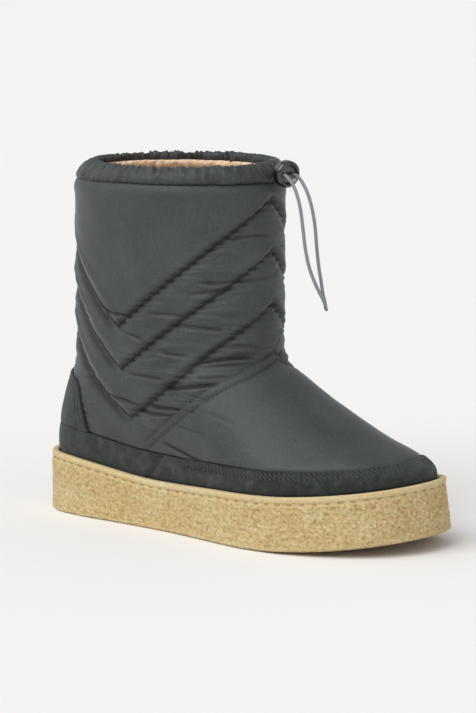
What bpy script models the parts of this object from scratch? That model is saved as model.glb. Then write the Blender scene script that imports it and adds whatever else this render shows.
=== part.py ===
"""Padded winter boot for the right foot: a quilted nylon upper on a crepe-look cup sole.

Metres. +X points to the toe, +Y to the inner side of the foot and +Z up. The origin lies on the
floor under the middle of the sole. A turn runs round the boot: 0 at the front, a quarter turn at
the outer side, half a turn at the heel. A level runs up the upper: 0 at the feather line, where it
meets the sole, 1 at the ankle, where the vamp meets the shaft, and 2 at the collar.
"""

from math import pi

import bmesh
import bpy
import numpy as np
from mathutils import Matrix, Vector

MM = 0.001

# Driving dimensions
SOLE_LENGTH = 270 * MM
TOE_SPRING = 9.4 * MM
SPRING_START = 30 * MM
LIP_WIDTH = 4.4 * MM
TOE_FLARE = 4.2 * MM
TOE_FLARE_TURN = -0.7
LIP_HEIGHT = 3.2 * MM
LIP_ROLL = 1.2 * MM
BOTTOM_ROLL = 1.8 * MM
GROOVE_HEIGHT = 1.8 * MM
GROOVE_DEPTH = 1.3 * MM
CUP_DEPTH = 8 * MM
INSOLE_THICKNESS = 4.5 * MM
INSOLE_ROLL = 1 * MM
WALL = 6 * MM
SUEDE = 1.3 * MM
GAP = 0.3 * MM
ANKLE_HEIGHT = 100 * MM
COLLAR_HEIGHT = 204 * MM
TUNNEL_HEIGHT = 11.5 * MM
TUNNEL_TILT = 1.7 * MM
TUNNEL_HEEL_LEAN = 5 * MM
LOCK_DIAMETER = 16 * MM
LOCK_THICKNESS = 7 * MM
LOCK_ROLL = 1.6 * MM
LOCK_HOLE = 3 * MM
LOCK_HOLE_SPACING = 7.2 * MM
CORD_DIAMETER = 2 * MM

# Outline of the sole: share of the length from the heel, and the distance in millimetres from the
# centre line to the outer and to the inner edge
SOLE_OUTLINE = {
    "share": (0.00, 0.03, 0.08, 0.16, 0.25, 0.40, 0.55, 0.65, 0.72, 0.80, 0.88, 0.94, 0.98, 1.00),
    "outer": (-1.4, 19.4, 29.4, 34.2, 36.2, 40.6, 48.8, 54.2, 54.9, 51.0, 42.4, 31.0, 16.0, -7.9),
    "inner": (1.4, 22.2, 31.0, 36.0, 37.0, 38.8, 44.8, 51.6, 54.9, 54.9, 50.5, 42.4, 30.0, 7.9),
}

# Height of the sole's top edge over its underside, in millimetres along the length
SOLE_HEIGHT = {"x": (-135, -120, -30, 45, 135), "height": (36.0, 36.0, 29.1, 31.3, 31.4)}

# How far a line up the foot has gone inwards, as a share, at each share of its climb to the ankle:
# up the vamp in front, up the side, and up the round back of the heel
FOOT_RUN = {
    "climb": (0.0, 0.10, 0.20, 0.36, 0.55, 0.76, 1.0),
    "front": (0.0, 0.02, 0.11, 0.33, 0.55, 0.76, 1.0),
    "side": (0.0, 0.04, 0.14, 0.38, 0.64, 0.87, 1.0),
    "heel": (0.0, 0.00, 0.02, 0.12, 0.36, 0.72, 1.0),
}

# Ovals of the shaft, in millimetres: centre along the foot, and half its length and width
SHAFT_OVALS = {
    "ring": ("ankle", "collar"),
    "centre": (-43.5, -42.8),
    "half_length": (69.0, 66.7),
    "half_width": (45.5, 53.0),
}

# Quilting lines round the shaft, a V on each side: the height of each line in millimetres at the
# front, at the point of the V and at the back
CHEVRONS = {"front": (195, 165, 134), "point": (119, 93.5, 64.5), "back": (189, 163, 138)}
CHEVRON_TURN = 1.73
TROUGH_DEPTH = 2.2 * MM
TROUGH_HALF_WIDTH = 6 * MM

# Seam between vamp and shaft, from the throat back and down to the suede band
VAMP_SEAM = {"turn": (0.0, 0.5, 0.8, 1.12, 1.42, 1.7), "level": (1.0, 0.9, 0.8, 0.64, 0.45, 0.22)}
SEAM_CLIMB = 70 * MM
THROAT_SOFTNESS = 0.05

# Height of the suede band in millimetres, measured up the upper, at turns from the toe to the heel, and
# how deep it is tucked into the cup, as a share of the cup's depth
MUDGUARD_HEIGHT = {"turn": (0.0, 0.85, 1.7, 3.15), "height": (14.5, 15, 16.5, 18)}
MUDGUARD_TUCK = 0.35

# Heel counter: half its spread in turn at its foot and at its top, its height over the suede band, the
# share of that height at its corners, and how clear of the band it starts, as a level
COUNTER_SPREAD_LOW = 0.99
COUNTER_SPREAD_HIGH = 0.83
COUNTER_RISE = 32 * MM
COUNTER_CORNER = 0.75
COUNTER_CLEAR = 0.01
COUNTER_ROWS = 8
COUNTER_COLUMNS = 18

# Section of the collar tunnel in millimetres, outwards from the shaft's edge and up from its seam
TUNNEL_SECTION = {
    "out": (0.0, 0.4, -0.9, -3.4, -6.4, -9.0, -10.0, -9.2, -6.4),
    "up": (0.0, 3.0, 6.6, 9.8, 11.5, 10.4, 7.4, 3.4, 0.0),
}

# Cord lock: its middle, and how far its face turns to the outer side and tips down
LOCK_CENTRE = Vector((30.6, 5.6, 209.3)) * MM
LOCK_TURN = 0.35
LOCK_TIP = 0.16

# Drawcord in millimetres: from the tunnel through one hole, down and round, and back through the other
DRAWCORD_ROUTE = (
    (23.8, 4.2, 210.3),
    (26.6, 3.2, 209.8),
    (29.4, 2.2, 209.3),
    (34.0, 0.5, 208.5),
    (41.2, -2.2, 203.0),
    (45.2, -3.9, 197.0),
    (47.9, -4.9, 190.0),
    (49.7, -5.1, 180.0),
    (51.3, -4.8, 168.0),
    (53.4, -3.7, 157.0),
    (56.4, -1.4, 147.0),
    (59.0, 0.9, 140.0),
    (60.0, 2.2, 136.6),
    (59.8, 3.6, 133.6),
    (58.5, 6.3, 132.4),
    (56.6, 8.3, 133.6),
    (55.6, 8.8, 136.6),
    (55.0, 8.1, 140.0),
    (54.6, 6.8, 147.0),
    (54.0, 4.9, 157.0),
    (53.5, 3.5, 168.0),
    (52.6, 3.0, 180.0),
    (50.7, 2.8, 190.0),
    (47.9, 3.4, 197.0),
    (43.7, 4.8, 203.0),
    (36.5, 7.3, 208.5),
    (31.8, 9.0, 209.3),
    (28.1, 10.3, 209.9),
    (25.0, 11.5, 210.4),
    (22.0, 12.6, 210.9),
)

# How far the shaft stands behind the middle of the sole, in turn at its sides
SHAFT_SET_BACK = 0.19

# Faces of the upper: ribs round it, and rows up the suede band, the foot and the shaft. The lining has
# every third row, so each count of rows is a multiple of three.
RIBS = 56
MUDGUARD_ROWS = 3
FOOT_ROWS = 12
SHAFT_ROWS = 21
LINING_STEP = 3


def smooth(at, stations, values):
    """Values read off a smooth curve through the stations, with no overshoot between them."""
    stations = np.asarray(stations, float)
    values = np.asarray(values, float)
    step = np.diff(stations)
    rise = np.diff(values) / step
    slope = np.concatenate((rise[:1], np.zeros(len(rise) - 1), rise[-1:]))
    before, after = rise[:-1], rise[1:]
    even = before * after > 0
    slope[1:-1][even] = 2 * before[even] * after[even] / (before[even] + after[even])
    at = np.clip(at, stations[0], stations[-1])
    k = np.clip(np.searchsorted(stations, at) - 1, 0, len(step) - 1)
    t = (at - stations[k]) / step[k]
    low = values[k] * (1 + 2 * t) + slope[k] * step[k] * t
    high = values[k + 1] * (3 - 2 * t) + slope[k + 1] * step[k] * (t - 1)
    return low * (1 - t) ** 2 + high * t ** 2


def folded(turn):
    """The same turn on the outer side, for a form that is alike on both sides."""
    turn = np.mod(turn, 2 * pi)
    return np.minimum(turn, 2 * pi - turn)


def sole_edge(turn):
    """Points of the sole's outline in plan."""
    outer = np.mod(turn, 2 * pi) <= pi
    share = (1 + np.cos(turn)) / 2
    heading = np.arccos(1 - 2 * np.asarray(SOLE_OUTLINE["share"]))
    at = np.arccos(np.clip(1 - 2 * share, -1, 1))
    to_outer = -smooth(at, heading, SOLE_OUTLINE["outer"]) * MM
    to_inner = smooth(at, heading, SOLE_OUTLINE["inner"]) * MM
    return np.stack((SOLE_LENGTH * (share - 0.5), np.where(outer, to_outer, to_inner)), axis=-1)


def inset_edge(turn, inset):
    """The sole's outline moved inwards, square to itself."""
    small = 0.01
    along = sole_edge(turn + small) - sole_edge(turn - small)
    inward = np.stack((along[..., 1], -along[..., 0]), axis=-1)
    inward /= np.linalg.norm(inward, axis=-1, keepdims=True)
    return sole_edge(turn) + inward * np.asarray(inset)[..., None]


def underside(x):
    """Height of the sole's underside: flat on the floor, then curving up under the toes."""
    share = np.clip((x - SPRING_START) / (SOLE_LENGTH / 2 - SPRING_START), 0, 1)
    return TOE_SPRING * share ** 2


def sole_top(x):
    return underside(x) + smooth(x / MM, SOLE_HEIGHT["x"], SOLE_HEIGHT["height"]) * MM


def flare(turn):
    """How far the sole's side leans in by its top edge, inside the big toe."""
    return TOE_FLARE * np.clip(np.cos(turn - TOE_FLARE_TURN), 0, 1) ** 4


def ledge(turn):
    """From the sole's outline to the cup's wall, across the lean of its side and its lip."""
    return flare(turn) + LIP_WIDTH


def foot_turn(turn):
    """The turn on the sole that lies under a turn of the shaft, which stands over the heel."""
    return turn + SHAFT_SET_BACK * np.sin(turn)


def feather_line(turn):
    """Where the upper meets the sole, just inside the cup and the suede band."""
    plan = inset_edge(foot_turn(turn), ledge(foot_turn(turn)) + GAP + SUEDE + GAP)
    return np.concatenate((plan, sole_top(plan[..., :1])), axis=-1)


def shaft_oval(turn, ring, height):
    k = SHAFT_OVALS["ring"].index(ring)
    x = SHAFT_OVALS["centre"][k] + SHAFT_OVALS["half_length"][k] * np.cos(turn)
    y = -SHAFT_OVALS["half_width"][k] * np.sin(turn)
    return np.stack((x * MM, y * MM, height + 0 * turn), axis=-1)


def foot_and_shaft(turn, level):
    """Up the foot to the ankle, then up the shaft, with a sharp fold between them."""
    foot = feather_line(turn)
    ankle = shaft_oval(turn, "ankle", ANKLE_HEIGHT)
    collar = shaft_oval(turn, "collar", COLLAR_HEIGHT)
    climb = np.clip(level, 0, 1)
    ahead = np.cos(turn)
    front, heel = np.clip(ahead, 0, 1) ** 2, np.clip(-ahead, 0, 1) ** 2
    weights = {"front": front, "side": 1 - ahead ** 2, "heel": heel}
    run = sum(weight * smooth(climb, FOOT_RUN["climb"], FOOT_RUN[k]) for k, weight in weights.items())
    low = foot + (ankle - foot) * np.stack((run, run, climb), axis=-1)
    high = ankle + (collar - ankle) * np.clip(level - 1, 0, 1)[..., None]
    point = np.where(level[..., None] <= 1, low, high)
    point[..., 2] += CUP_DEPTH * np.minimum(level, 0)
    return point


def last_surface(turn, level):
    """The outside of the upper before quilting, with the fold at the throat softened."""
    soft = THROAT_SOFTNESS * np.exp(-((level - 1) / (2 * THROAT_SOFTNESS)) ** 2)
    return (foot_and_shaft(turn, level - soft) + foot_and_shaft(turn, level + soft)) / 2


def outward(turn, level):
    """Unit normals of the upper."""
    small = 0.004
    middle = np.clip(level, small, 2 - small)
    along = last_surface(turn + small, middle) - last_surface(turn - small, middle)
    up = last_surface(turn, middle + small) - last_surface(turn, middle - small)
    normal = np.cross(up, along)
    return normal / np.linalg.norm(normal, axis=-1, keepdims=True)


def trough(away):
    """Depth of a sewn line at a distance from it."""
    return TROUGH_DEPTH * np.exp(-(away / TROUGH_HALF_WIDTH) ** 2)


def shaft_arc(turn):
    """Length round the shaft from its front."""
    half_length, half_width = SHAFT_OVALS["half_length"][0], SHAFT_OVALS["half_width"][0]
    mean, spread = (half_length + half_width) / 2, (half_length - half_width) / 4
    return (mean * turn - spread * np.sin(2 * turn)) * MM


def sewn_depth(turn, level, height):
    """Depth of the troughs along the chevron lines of the shaft and along the vamp seam."""
    side = folded(turn)
    arc = shaft_arc(side)
    point_arc, back_arc = shaft_arc(CHEVRON_TURN), shaft_arc(pi)
    seam = smooth(side, VAMP_SEAM["turn"], VAMP_SEAM["level"])
    fade = np.clip(10 * (VAMP_SEAM["turn"][-1] - side), 0, 1)
    depth = trough((level - seam) * SEAM_CLIMB) * fade
    for front, point, back in zip(*CHEVRONS.values()):
        line = np.interp(arc, (0, point_arc, back_arc), (front * MM, point * MM, back * MM))
        front_rise = (front - point) * MM / point_arc
        back_rise = (back - point) * MM / (back_arc - point_arc)
        away = (height - line) / np.hypot(1, np.where(arc < point_arc, front_rise, back_rise))
        depth = np.maximum(depth, trough(away))
    return depth


def upper_point(turn, level, out=0.0):
    """Points at a distance out from the quilted outside of the upper."""
    turn, level = np.broadcast_arrays(np.asarray(turn, float), np.asarray(level, float))
    point = last_surface(turn, level)
    out = out - sewn_depth(turn, level, point[..., 2])
    return point + outward(turn, level) * np.asarray(out)[..., None]


def lining_point(turn, level):
    """Points on the inside of the upper, one wall further in and without the quilting."""
    turn, level = np.broadcast_arrays(np.asarray(turn, float), np.asarray(level, float))
    inward = -outward(turn, level)
    level_rims = np.clip(5 * level, 0, 1) * np.clip(2 - level, 0, 1)
    inward[..., 2] *= level_rims
    return last_surface(turn, level) + WALL * inward


def mudguard_top(turn):
    """Level of the suede band's top edge, found by climbing its height up the upper."""
    levels = np.linspace(0, 0.6, 61)
    climb = last_surface(turn[None, :] + 0 * levels[:, None], levels[:, None] + 0 * turn[None, :])
    steps = np.linalg.norm(np.diff(climb, axis=0), axis=-1)
    length = np.concatenate((np.zeros((1, len(turn))), np.cumsum(steps, axis=0)))
    height = smooth(folded(turn), MUDGUARD_HEIGHT["turn"], MUDGUARD_HEIGHT["height"]) * MM
    return np.array([np.interp(h, column, levels) for h, column in zip(height, length.T)])


def new_object(name, shape, material):
    """An object from a closed bmesh, with its faces turned outwards and its material."""
    bmesh.ops.recalc_face_normals(shape, faces=shape.faces)
    mesh = bpy.data.meshes.new(name)
    shape.to_mesh(mesh)
    shape.free()
    mesh.materials.append(material)
    mesh.shade_smooth()
    mesh.set_sharp_from_angle(angle=0.8)
    made = bpy.data.objects.new(name, mesh)
    bpy.context.scene.collection.objects.link(made)
    return made


def cap(shape, loop):
    """Closes a loop with strips from its outer to its inner side."""
    count = len(loop)
    for k in range(count // 2):
        corners = (loop[k], loop[k + 1], loop[count - k - 1], loop[-k])
        shape.faces.new(list(dict.fromkeys(corners)))


def ring_solid(name, rings, material, capped=False, rising=None):
    """A closed body through rings of points, capped at both ends or joined end to end.

    Where rising is given, each face is split along the way the sewn lines run there.
    """
    shape = bmesh.new()
    loops = [[shape.verts.new(point) for point in ring] for ring in rings]
    nexts = loops[1:] if capped else loops[1:] + loops[:1]
    for low, high in zip(loops, nexts):
        for k in range(len(low)):
            corners = (low[k - 1], low[k], high[k], high[k - 1])
            if rising is None:
                shape.faces.new(corners)
                continue
            a, b, c, d = corners if rising[k] else corners[1:] + corners[:1]
            shape.faces.new((a, b, c))
            shape.faces.new((c, d, a))
    if capped:
        cap(shape, loops[0])
        cap(shape, loops[-1])
    return new_object(name, shape, material)


def patch_solid(name, outside, inside, material):
    """A closed body between two grids of points of equal size."""
    shape = bmesh.new()
    faces = [[[shape.verts.new(point) for point in row] for row in grid] for grid in (outside, inside)]
    for grid in faces:
        for low, high in zip(grid, grid[1:]):
            for k in range(1, len(low)):
                shape.faces.new((low[k - 1], low[k], high[k], high[k - 1]))
    rims = []
    for grid in faces:
        left = [row[0] for row in grid]
        right = [row[-1] for row in grid]
        rims.append(grid[0] + right[1:] + grid[-1][-2::-1] + left[-2:0:-1])
    over, under = rims
    for k in range(len(over)):
        shape.faces.new((over[k - 1], over[k], under[k], under[k - 1]))
    return new_object(name, shape, material)


def plain_material(name, colour, roughness):
    """A plain material of one colour, given as red, green and blue."""
    made = bpy.data.materials.new(name)
    made.use_nodes = True
    shader = made.node_tree.nodes["Principled BSDF"]
    shader.inputs["Base Color"].default_value = (*colour, 1.0)
    shader.inputs["Roughness"].default_value = roughness
    shader.inputs["Metallic"].default_value = 0.0
    return made


def sole_ring(turns, inset, up=0.0, down=None):
    """A ring round the sole: up from its underside, or down from its top edge."""
    plan = inset_edge(turns, inset + 0 * turns)
    x = plan[:, :1]
    height = underside(x) + up if down is None else sole_top(x) - down
    return np.concatenate((plan, height), axis=-1)


def outsole(turns):
    """Cup sole: rolled bottom edge, straight side, sewn groove, smooth lip and the cup's recess."""
    groove = LIP_HEIGHT + GROOVE_HEIGHT
    chamfer = GROOVE_DEPTH / 2
    lean = flare(turns)
    rings = [
        sole_ring(turns, BOTTOM_ROLL),
        sole_ring(turns, BOTTOM_ROLL / 3, up=BOTTOM_ROLL / 3),
        sole_ring(turns, 0, up=BOTTOM_ROLL),
        sole_ring(turns, lean, down=groove + chamfer),
        sole_ring(turns, lean + GROOVE_DEPTH, down=groove),
        sole_ring(turns, lean + GROOVE_DEPTH, down=LIP_HEIGHT),
        sole_ring(turns, lean, down=LIP_HEIGHT - chamfer),
        sole_ring(turns, lean, down=LIP_ROLL),
        sole_ring(turns, lean + LIP_ROLL, down=0),
        sole_ring(turns, ledge(turns), down=0),
        sole_ring(turns, ledge(turns), down=CUP_DEPTH),
    ]
    ring_solid("outsole", rings, plain_material("crepe rubber", (0.62, 0.47, 0.26), 0.85), capped=True)


def insole(turns):
    """Footbed that fills the cup inside the upper."""
    inset = ledge(turns) + 3 * GAP + SUEDE + WALL
    floor = CUP_DEPTH - GAP
    rings = [
        sole_ring(turns, inset, down=floor),
        sole_ring(turns, inset, down=floor - INSOLE_THICKNESS + INSOLE_ROLL),
        sole_ring(turns, inset + INSOLE_ROLL, down=floor - INSOLE_THICKNESS),
    ]
    ring_solid("insole", rings, plain_material("fleece footbed", (0.55, 0.40, 0.26), 0.95), capped=True)


def upper(turns):
    """Vamp and shaft in one hollow wall, open at the collar and at the sole."""
    band = mudguard_top(turns)
    in_cup = -(1 - GAP / CUP_DEPTH)
    levels = [in_cup + 0 * turns]
    levels += [band * share for share in np.linspace(0, 1, MUDGUARD_ROWS + 1)]
    levels += [band + (1 - band) * share for share in np.linspace(0, 1, FOOT_ROWS + 1)[1:]]
    levels += [1 + share + 0 * turns for share in np.linspace(0, 1, SHAFT_ROWS + 1)[1:]]
    lining = levels[::-LINING_STEP] + levels[:1]
    rings = [upper_point(turns, level) for level in levels]
    rings += [lining_point(turns, level) for level in lining]
    between = np.mod(turns - pi / RIBS, 2 * pi)
    rising = (folded(between) > CHEVRON_TURN) == (between < pi)
    ring_solid("upper", rings, plain_material("padded nylon", (0.035, 0.042, 0.046), 0.55), rising=rising)


def mudguard(turns):
    """Suede band round the foot, from just inside the cup to its sewn top edge."""
    band = mudguard_top(turns)
    levels = [0 * turns - MUDGUARD_TUCK]
    levels += [band * share for share in np.linspace(0, 1, MUDGUARD_ROWS + 1)]
    rings = [upper_point(turns, level, GAP + SUEDE) for level in levels]
    rings += [upper_point(turns, level, GAP) for level in levels[::-1]]
    ring_solid("mudguard", rings, plain_material("green-grey suede", (0.045, 0.052, 0.050), 0.9))


def heel_counter():
    """Suede piece up the back of the heel, narrower at its round top."""
    across = np.linspace(-1, 1, COUNTER_COLUMNS + 1)
    crown = COUNTER_CORNER + (1 - COUNTER_CORNER) * np.sqrt(1 - across ** 4)
    outside, inside = [], []
    for share in np.linspace(0, 1, COUNTER_ROWS + 1):
        spread = COUNTER_SPREAD_LOW + (COUNTER_SPREAD_HIGH - COUNTER_SPREAD_LOW) * share
        turn = pi + spread * across
        low = mudguard_top(turn) + COUNTER_CLEAR
        climb = ANKLE_HEIGHT - sole_top(last_surface(turn, 0 * turn)[:, 0])
        level = low + share * crown * COUNTER_RISE / climb
        outside.append(upper_point(turn, level, GAP + SUEDE))
        inside.append(upper_point(turn, level, GAP))
    suede = plain_material("green-grey suede", (0.045, 0.052, 0.050), 0.9)
    patch_solid("heel_counter", outside, inside, suede)


def collar_tunnel(turns):
    """Drawcord channel sewn round the top of the shaft, lower on its outer side and drawn in at the heel."""
    seam = last_surface(turns, 2 + 0 * turns)
    out = np.stack((np.cos(turns), -np.sin(turns), 0 * turns), axis=-1)
    height = TUNNEL_HEIGHT - TUNNEL_TILT * np.sin(turns)
    lean = TUNNEL_HEEL_LEAN * (1 - np.cos(turns)) / 2
    rings = []
    for outwards, up in zip(*TUNNEL_SECTION.values()):
        share = up / max(TUNNEL_SECTION["up"])
        rise = GAP + height * share
        across = outwards * MM - lean * share
        rings.append(seam + out * across[:, None] + rise[:, None] * np.array((0, 0, 1)))
    ring_solid("collar_tunnel", rings, plain_material("gathered nylon", (0.030, 0.036, 0.038), 0.6))


def cord_lock():
    """Two-hole stopper: a rounded disc that the cord is threaded through twice."""
    shape = bmesh.new()
    radius = LOCK_DIAMETER / 2
    bmesh.ops.create_cone(
        shape, cap_ends=True, segments=24, radius1=radius, radius2=radius, depth=LOCK_THICKNESS
    )
    rims = [edge for edge in shape.edges if abs(edge.verts[0].co.z - edge.verts[1].co.z) < 1e-6]
    bmesh.ops.bevel(
        shape, geom=rims, offset=LOCK_ROLL, segments=2, profile=0.5, affect="EDGES", clamp_overlap=True
    )
    lock = new_object("cord_lock", shape, plain_material("glossy black plastic", (0.02, 0.02, 0.022), 0.25))
    lock.matrix_world = lock_frame()
    for side in (-1, 1):
        drill = bmesh.new()
        place = Matrix.Translation((0, side * LOCK_HOLE_SPACING / 2, 0))
        bmesh.ops.create_cone(
            drill, cap_ends=True, segments=12, radius1=LOCK_HOLE / 2, radius2=LOCK_HOLE / 2,
            depth=3 * LOCK_THICKNESS, matrix=place,
        )
        cutter = new_object(f"lock_drill_{side + 1}", drill, lock.active_material)
        cutter.matrix_world = lock_frame()
        cutter.hide_render = True
        cutter.display_type = "WIRE"
        cut = lock.modifiers.new(cutter.name, "BOOLEAN")
        cut.operation = "DIFFERENCE"
        cut.object = cutter


def lock_frame():
    """Place of the cord lock: Z along its holes, out of its face, and Y from hole to hole."""
    turned = Matrix.Rotation(-LOCK_TURN, 4, "Z") @ Matrix.Rotation(pi / 2 + LOCK_TIP, 4, "Y")
    return Matrix.Translation(LOCK_CENTRE) @ turned


def along_route(route, step):
    """Evenly spaced points on a smooth curve through a route's points."""
    route = np.asarray(route, float)
    chord = np.linalg.norm(np.diff(route, axis=0), axis=1)
    at = np.concatenate(((0,), np.cumsum(chord)))
    slope = np.gradient(route, at, axis=0)
    fine = np.linspace(0, at[-1], 40 * len(route))
    k = np.clip(np.searchsorted(at, fine) - 1, 0, len(chord) - 1)
    t = ((fine - at[k]) / chord[k])[:, None]
    low = route[k] * (1 + 2 * t) + slope[k] * chord[k][:, None] * t
    high = route[k + 1] * (3 - 2 * t) + slope[k + 1] * chord[k][:, None] * (t - 1)
    curve = low * (1 - t) ** 2 + high * t ** 2
    length = np.concatenate(((0,), np.cumsum(np.linalg.norm(np.diff(curve, axis=0), axis=1))))
    even = np.linspace(0, length[-1], 1 + round(length[-1] / step))
    return np.stack([np.interp(even, length, axis) for axis in curve.T], axis=-1)


def drawcord():
    """Elastic cord that comes out of the tunnel, hangs in a loop and goes back in."""
    points = along_route(np.array(DRAWCORD_ROUTE) * MM, 2 * CORD_DIAMETER)
    curve = bpy.data.curves.new("drawcord", "CURVE")
    curve.dimensions = "3D"
    curve.bevel_depth = CORD_DIAMETER / 2
    curve.bevel_resolution = 2
    curve.use_fill_caps = True
    line = curve.splines.new("POLY")
    line.points.add(len(points) - 1)
    for spot, point in zip(line.points, points):
        spot.co = (*point, 1)
    curve.materials.append(plain_material("grey elastic", (0.09, 0.09, 0.095), 0.7))
    cord = bpy.data.objects.new("drawcord", curve)
    bpy.context.scene.collection.objects.link(cord)


def main():
    for old in list(bpy.data.objects):
        bpy.data.objects.remove(old)
    turns = np.arange(RIBS) * 2 * pi / RIBS
    outsole(foot_turn(turns))
    insole(foot_turn(turns))
    upper(turns)
    mudguard(turns)
    heel_counter()
    collar_tunnel(turns)
    cord_lock()
    drawcord()


main()
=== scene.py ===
from math import pi

import bmesh
import bpy
import numpy as np
from mathutils import Matrix, Vector, noise


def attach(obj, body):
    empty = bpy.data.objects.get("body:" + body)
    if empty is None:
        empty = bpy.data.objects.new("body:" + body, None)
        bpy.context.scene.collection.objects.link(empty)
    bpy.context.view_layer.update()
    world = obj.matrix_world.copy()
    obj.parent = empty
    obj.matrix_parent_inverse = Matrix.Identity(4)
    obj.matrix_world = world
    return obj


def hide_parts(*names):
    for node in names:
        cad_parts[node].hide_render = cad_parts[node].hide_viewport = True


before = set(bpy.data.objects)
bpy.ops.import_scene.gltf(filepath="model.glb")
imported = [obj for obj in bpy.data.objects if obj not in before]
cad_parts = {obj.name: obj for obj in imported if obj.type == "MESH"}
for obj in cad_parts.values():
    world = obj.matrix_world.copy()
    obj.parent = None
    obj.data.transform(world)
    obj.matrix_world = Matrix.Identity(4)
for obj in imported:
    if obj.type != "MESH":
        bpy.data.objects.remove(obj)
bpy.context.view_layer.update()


# Studio: the boot stands on a pale paper floor that runs out of the picture, in an even white surround,
# with one large soft light high on its outer side and two weaker, lower ones, behind the heel and ahead of
# the toe.

def linear(colour):
    """An sRGB hex colour as the linear colour that a socket takes."""
    shares = [int(colour[k:k + 2], 16) / 255 for k in (1, 3, 5)]
    return (*[c / 12.92 if c <= 0.04045 else ((c + 0.055) / 1.055) ** 2.4 for c in shares], 1.0)


def new_material(name):
    """A material that is ready for its nodes."""
    made = bpy.data.materials.new(name)
    made.use_nodes = True
    return made


def add(material, kind, inputs=None, ramp=(), out=None, **settings):
    """Adds a node with its settings, its ramp's stops, and values or other nodes' outputs on its sockets.

    It gives the named output, or else the first that the settings leave in use. The shader that each new
    material comes with is set, and not added again.
    """
    tree = material.node_tree
    made = tree.nodes[kind] if kind == "Principled BSDF" else tree.nodes.new("ShaderNode" + kind)
    for field, value in settings.items():
        setattr(made, field, value)
    for k, (position, colour) in enumerate(ramp):
        stops = made.color_ramp.elements
        stop = stops[k] if k < len(stops) else stops.new(position)
        stop.position = position
        stop.color = linear(colour)
    sockets = {socket.identifier: socket for socket in made.inputs}
    for socket, value in (inputs or {}).items():
        if isinstance(value, bpy.types.NodeSocket):
            tree.links.new(value, sockets[socket])
        else:
            sockets[socket].default_value = value
    return made.outputs[out] if out else next(output for output in made.outputs if output.enabled)


def new_object(name, shape, material):
    """An object at the origin that takes over a shape."""
    mesh = bpy.data.meshes.new(name)
    shape.to_mesh(mesh)
    shape.free()
    mesh.materials.append(material)
    made = bpy.data.objects.new(name, mesh)
    bpy.context.scene.collection.objects.link(made)
    return made


MM = 0.001
FLOOR_HALF_SIZE = 90.0
FLOOR_CLEARANCE = 0.2 * MM

# Seamless paper: off-white, quite matt
paper = new_material("pale_paper")
add(paper, "Principled BSDF", {"Base Color": linear("#f6f5f3"), "Roughness": 0.95})

shape = bmesh.new()
below = Matrix.Translation((0, 0, -FLOOR_CLEARANCE))
bmesh.ops.create_grid(shape, x_segments=1, y_segments=1, size=FLOOR_HALF_SIZE, matrix=below)
floor = new_object("floor", shape, paper)

world = bpy.data.worlds.new("white_surround")
world.use_nodes = True
world.node_tree.nodes["Background"].inputs["Color"].default_value = linear("#f7f7f9")
world.node_tree.nodes["Background"].inputs["Strength"].default_value = 0.5
bpy.context.scene.world = world
bpy.context.scene.view_settings.view_transform = "Standard"

# Three broad lights so far off that the floor is evenly lit: where each comes from, the angle in radians that
# it fills, which softens its shadows, and its strength
SOFT_LIGHTS = {
    "key": {"from": (-0.15, -1.1, 1.2), "softness": 0.9, "strength": 1.9},
    "back": {"from": (-1.0, -0.2, 0.5), "softness": 1.0, "strength": 0.36},
    "toe": {"from": (1.0, -0.3, 0.5), "softness": 1.0, "strength": 0.32},
}
for name, soft in SOFT_LIGHTS.items():
    lamp = bpy.data.lights.new(name, "SUN")
    lamp.angle = soft["softness"]
    lamp.energy = soft["strength"]
    light = bpy.data.objects.new(name, lamp)
    light.rotation_euler = Vector(soft["from"]).to_track_quat("Z", "Y").to_euler()
    bpy.context.scene.collection.objects.link(light)

# Camera at the viewing angle of the photograph, with a long lens
CAMERA_PLACE = Vector((0.9484, -1.2911, 0.3230))
CAMERA_AIM = Vector((0.0, 0.0, 0.101))
LENS_MM = 139

camera = bpy.data.objects.new("camera", bpy.data.cameras.new("camera"))
camera.data.lens = LENS_MM
camera.location = CAMERA_PLACE
camera.rotation_euler = (CAMERA_AIM - CAMERA_PLACE).to_track_quat("-Z", "Y").to_euler()
bpy.context.scene.collection.objects.link(camera)
bpy.context.scene.camera = camera


# Outsole: a cup of natural crepe-look rubber, moulded in one piece. Its side has the crumbly grain of
# crepe, a smooth lip runs round the top over a sewn groove, and the upper stands in the cup.

SOLE_LENGTH = 270 * MM
TOE_SPRING = 9.4 * MM
SPRING_START = 30 * MM
LIP_WIDTH = 4.4 * MM
TOE_FLARE = 4.2 * MM
TOE_FLARE_TURN = -0.7
LIP_HEIGHT = 3.2 * MM
LIP_ROLL = 1.2 * MM
BOTTOM_ROLL = 1.8 * MM
GROOVE_HEIGHT = 1.8 * MM
GROOVE_DEPTH = 0.9 * MM
CUP_DEPTH = 8 * MM
MIDDLE_LINE_SHARE = 0.97

# Distance in millimetres from the middle line to both sides of the sole, at shares of its length from the
# heel on
SOLE_OUTLINE = {
    "share": (0.00, 0.03, 0.08, 0.16, 0.25, 0.40, 0.55, 0.65, 0.72, 0.80, 0.88, 0.94, 0.98, 1.00),
    "outer": (-1.4, 19.4, 29.4, 34.2, 36.2, 40.6, 48.8, 54.2, 54.9, 51.0, 42.4, 31.0, 16.0, -7.9),
    "inner": (1.4, 22.2, 31.0, 36.0, 37.0, 38.8, 44.8, 51.6, 54.9, 54.9, 50.5, 42.4, 30.0, 7.9),
}

# Height of the sole's top edge over its underside along the boot, both in millimetres
SOLE_HEIGHT = {"x": (-135, -120, -30, 45, 135), "height": (36.0, 36.0, 29.1, 31.3, 31.4)}


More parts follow.
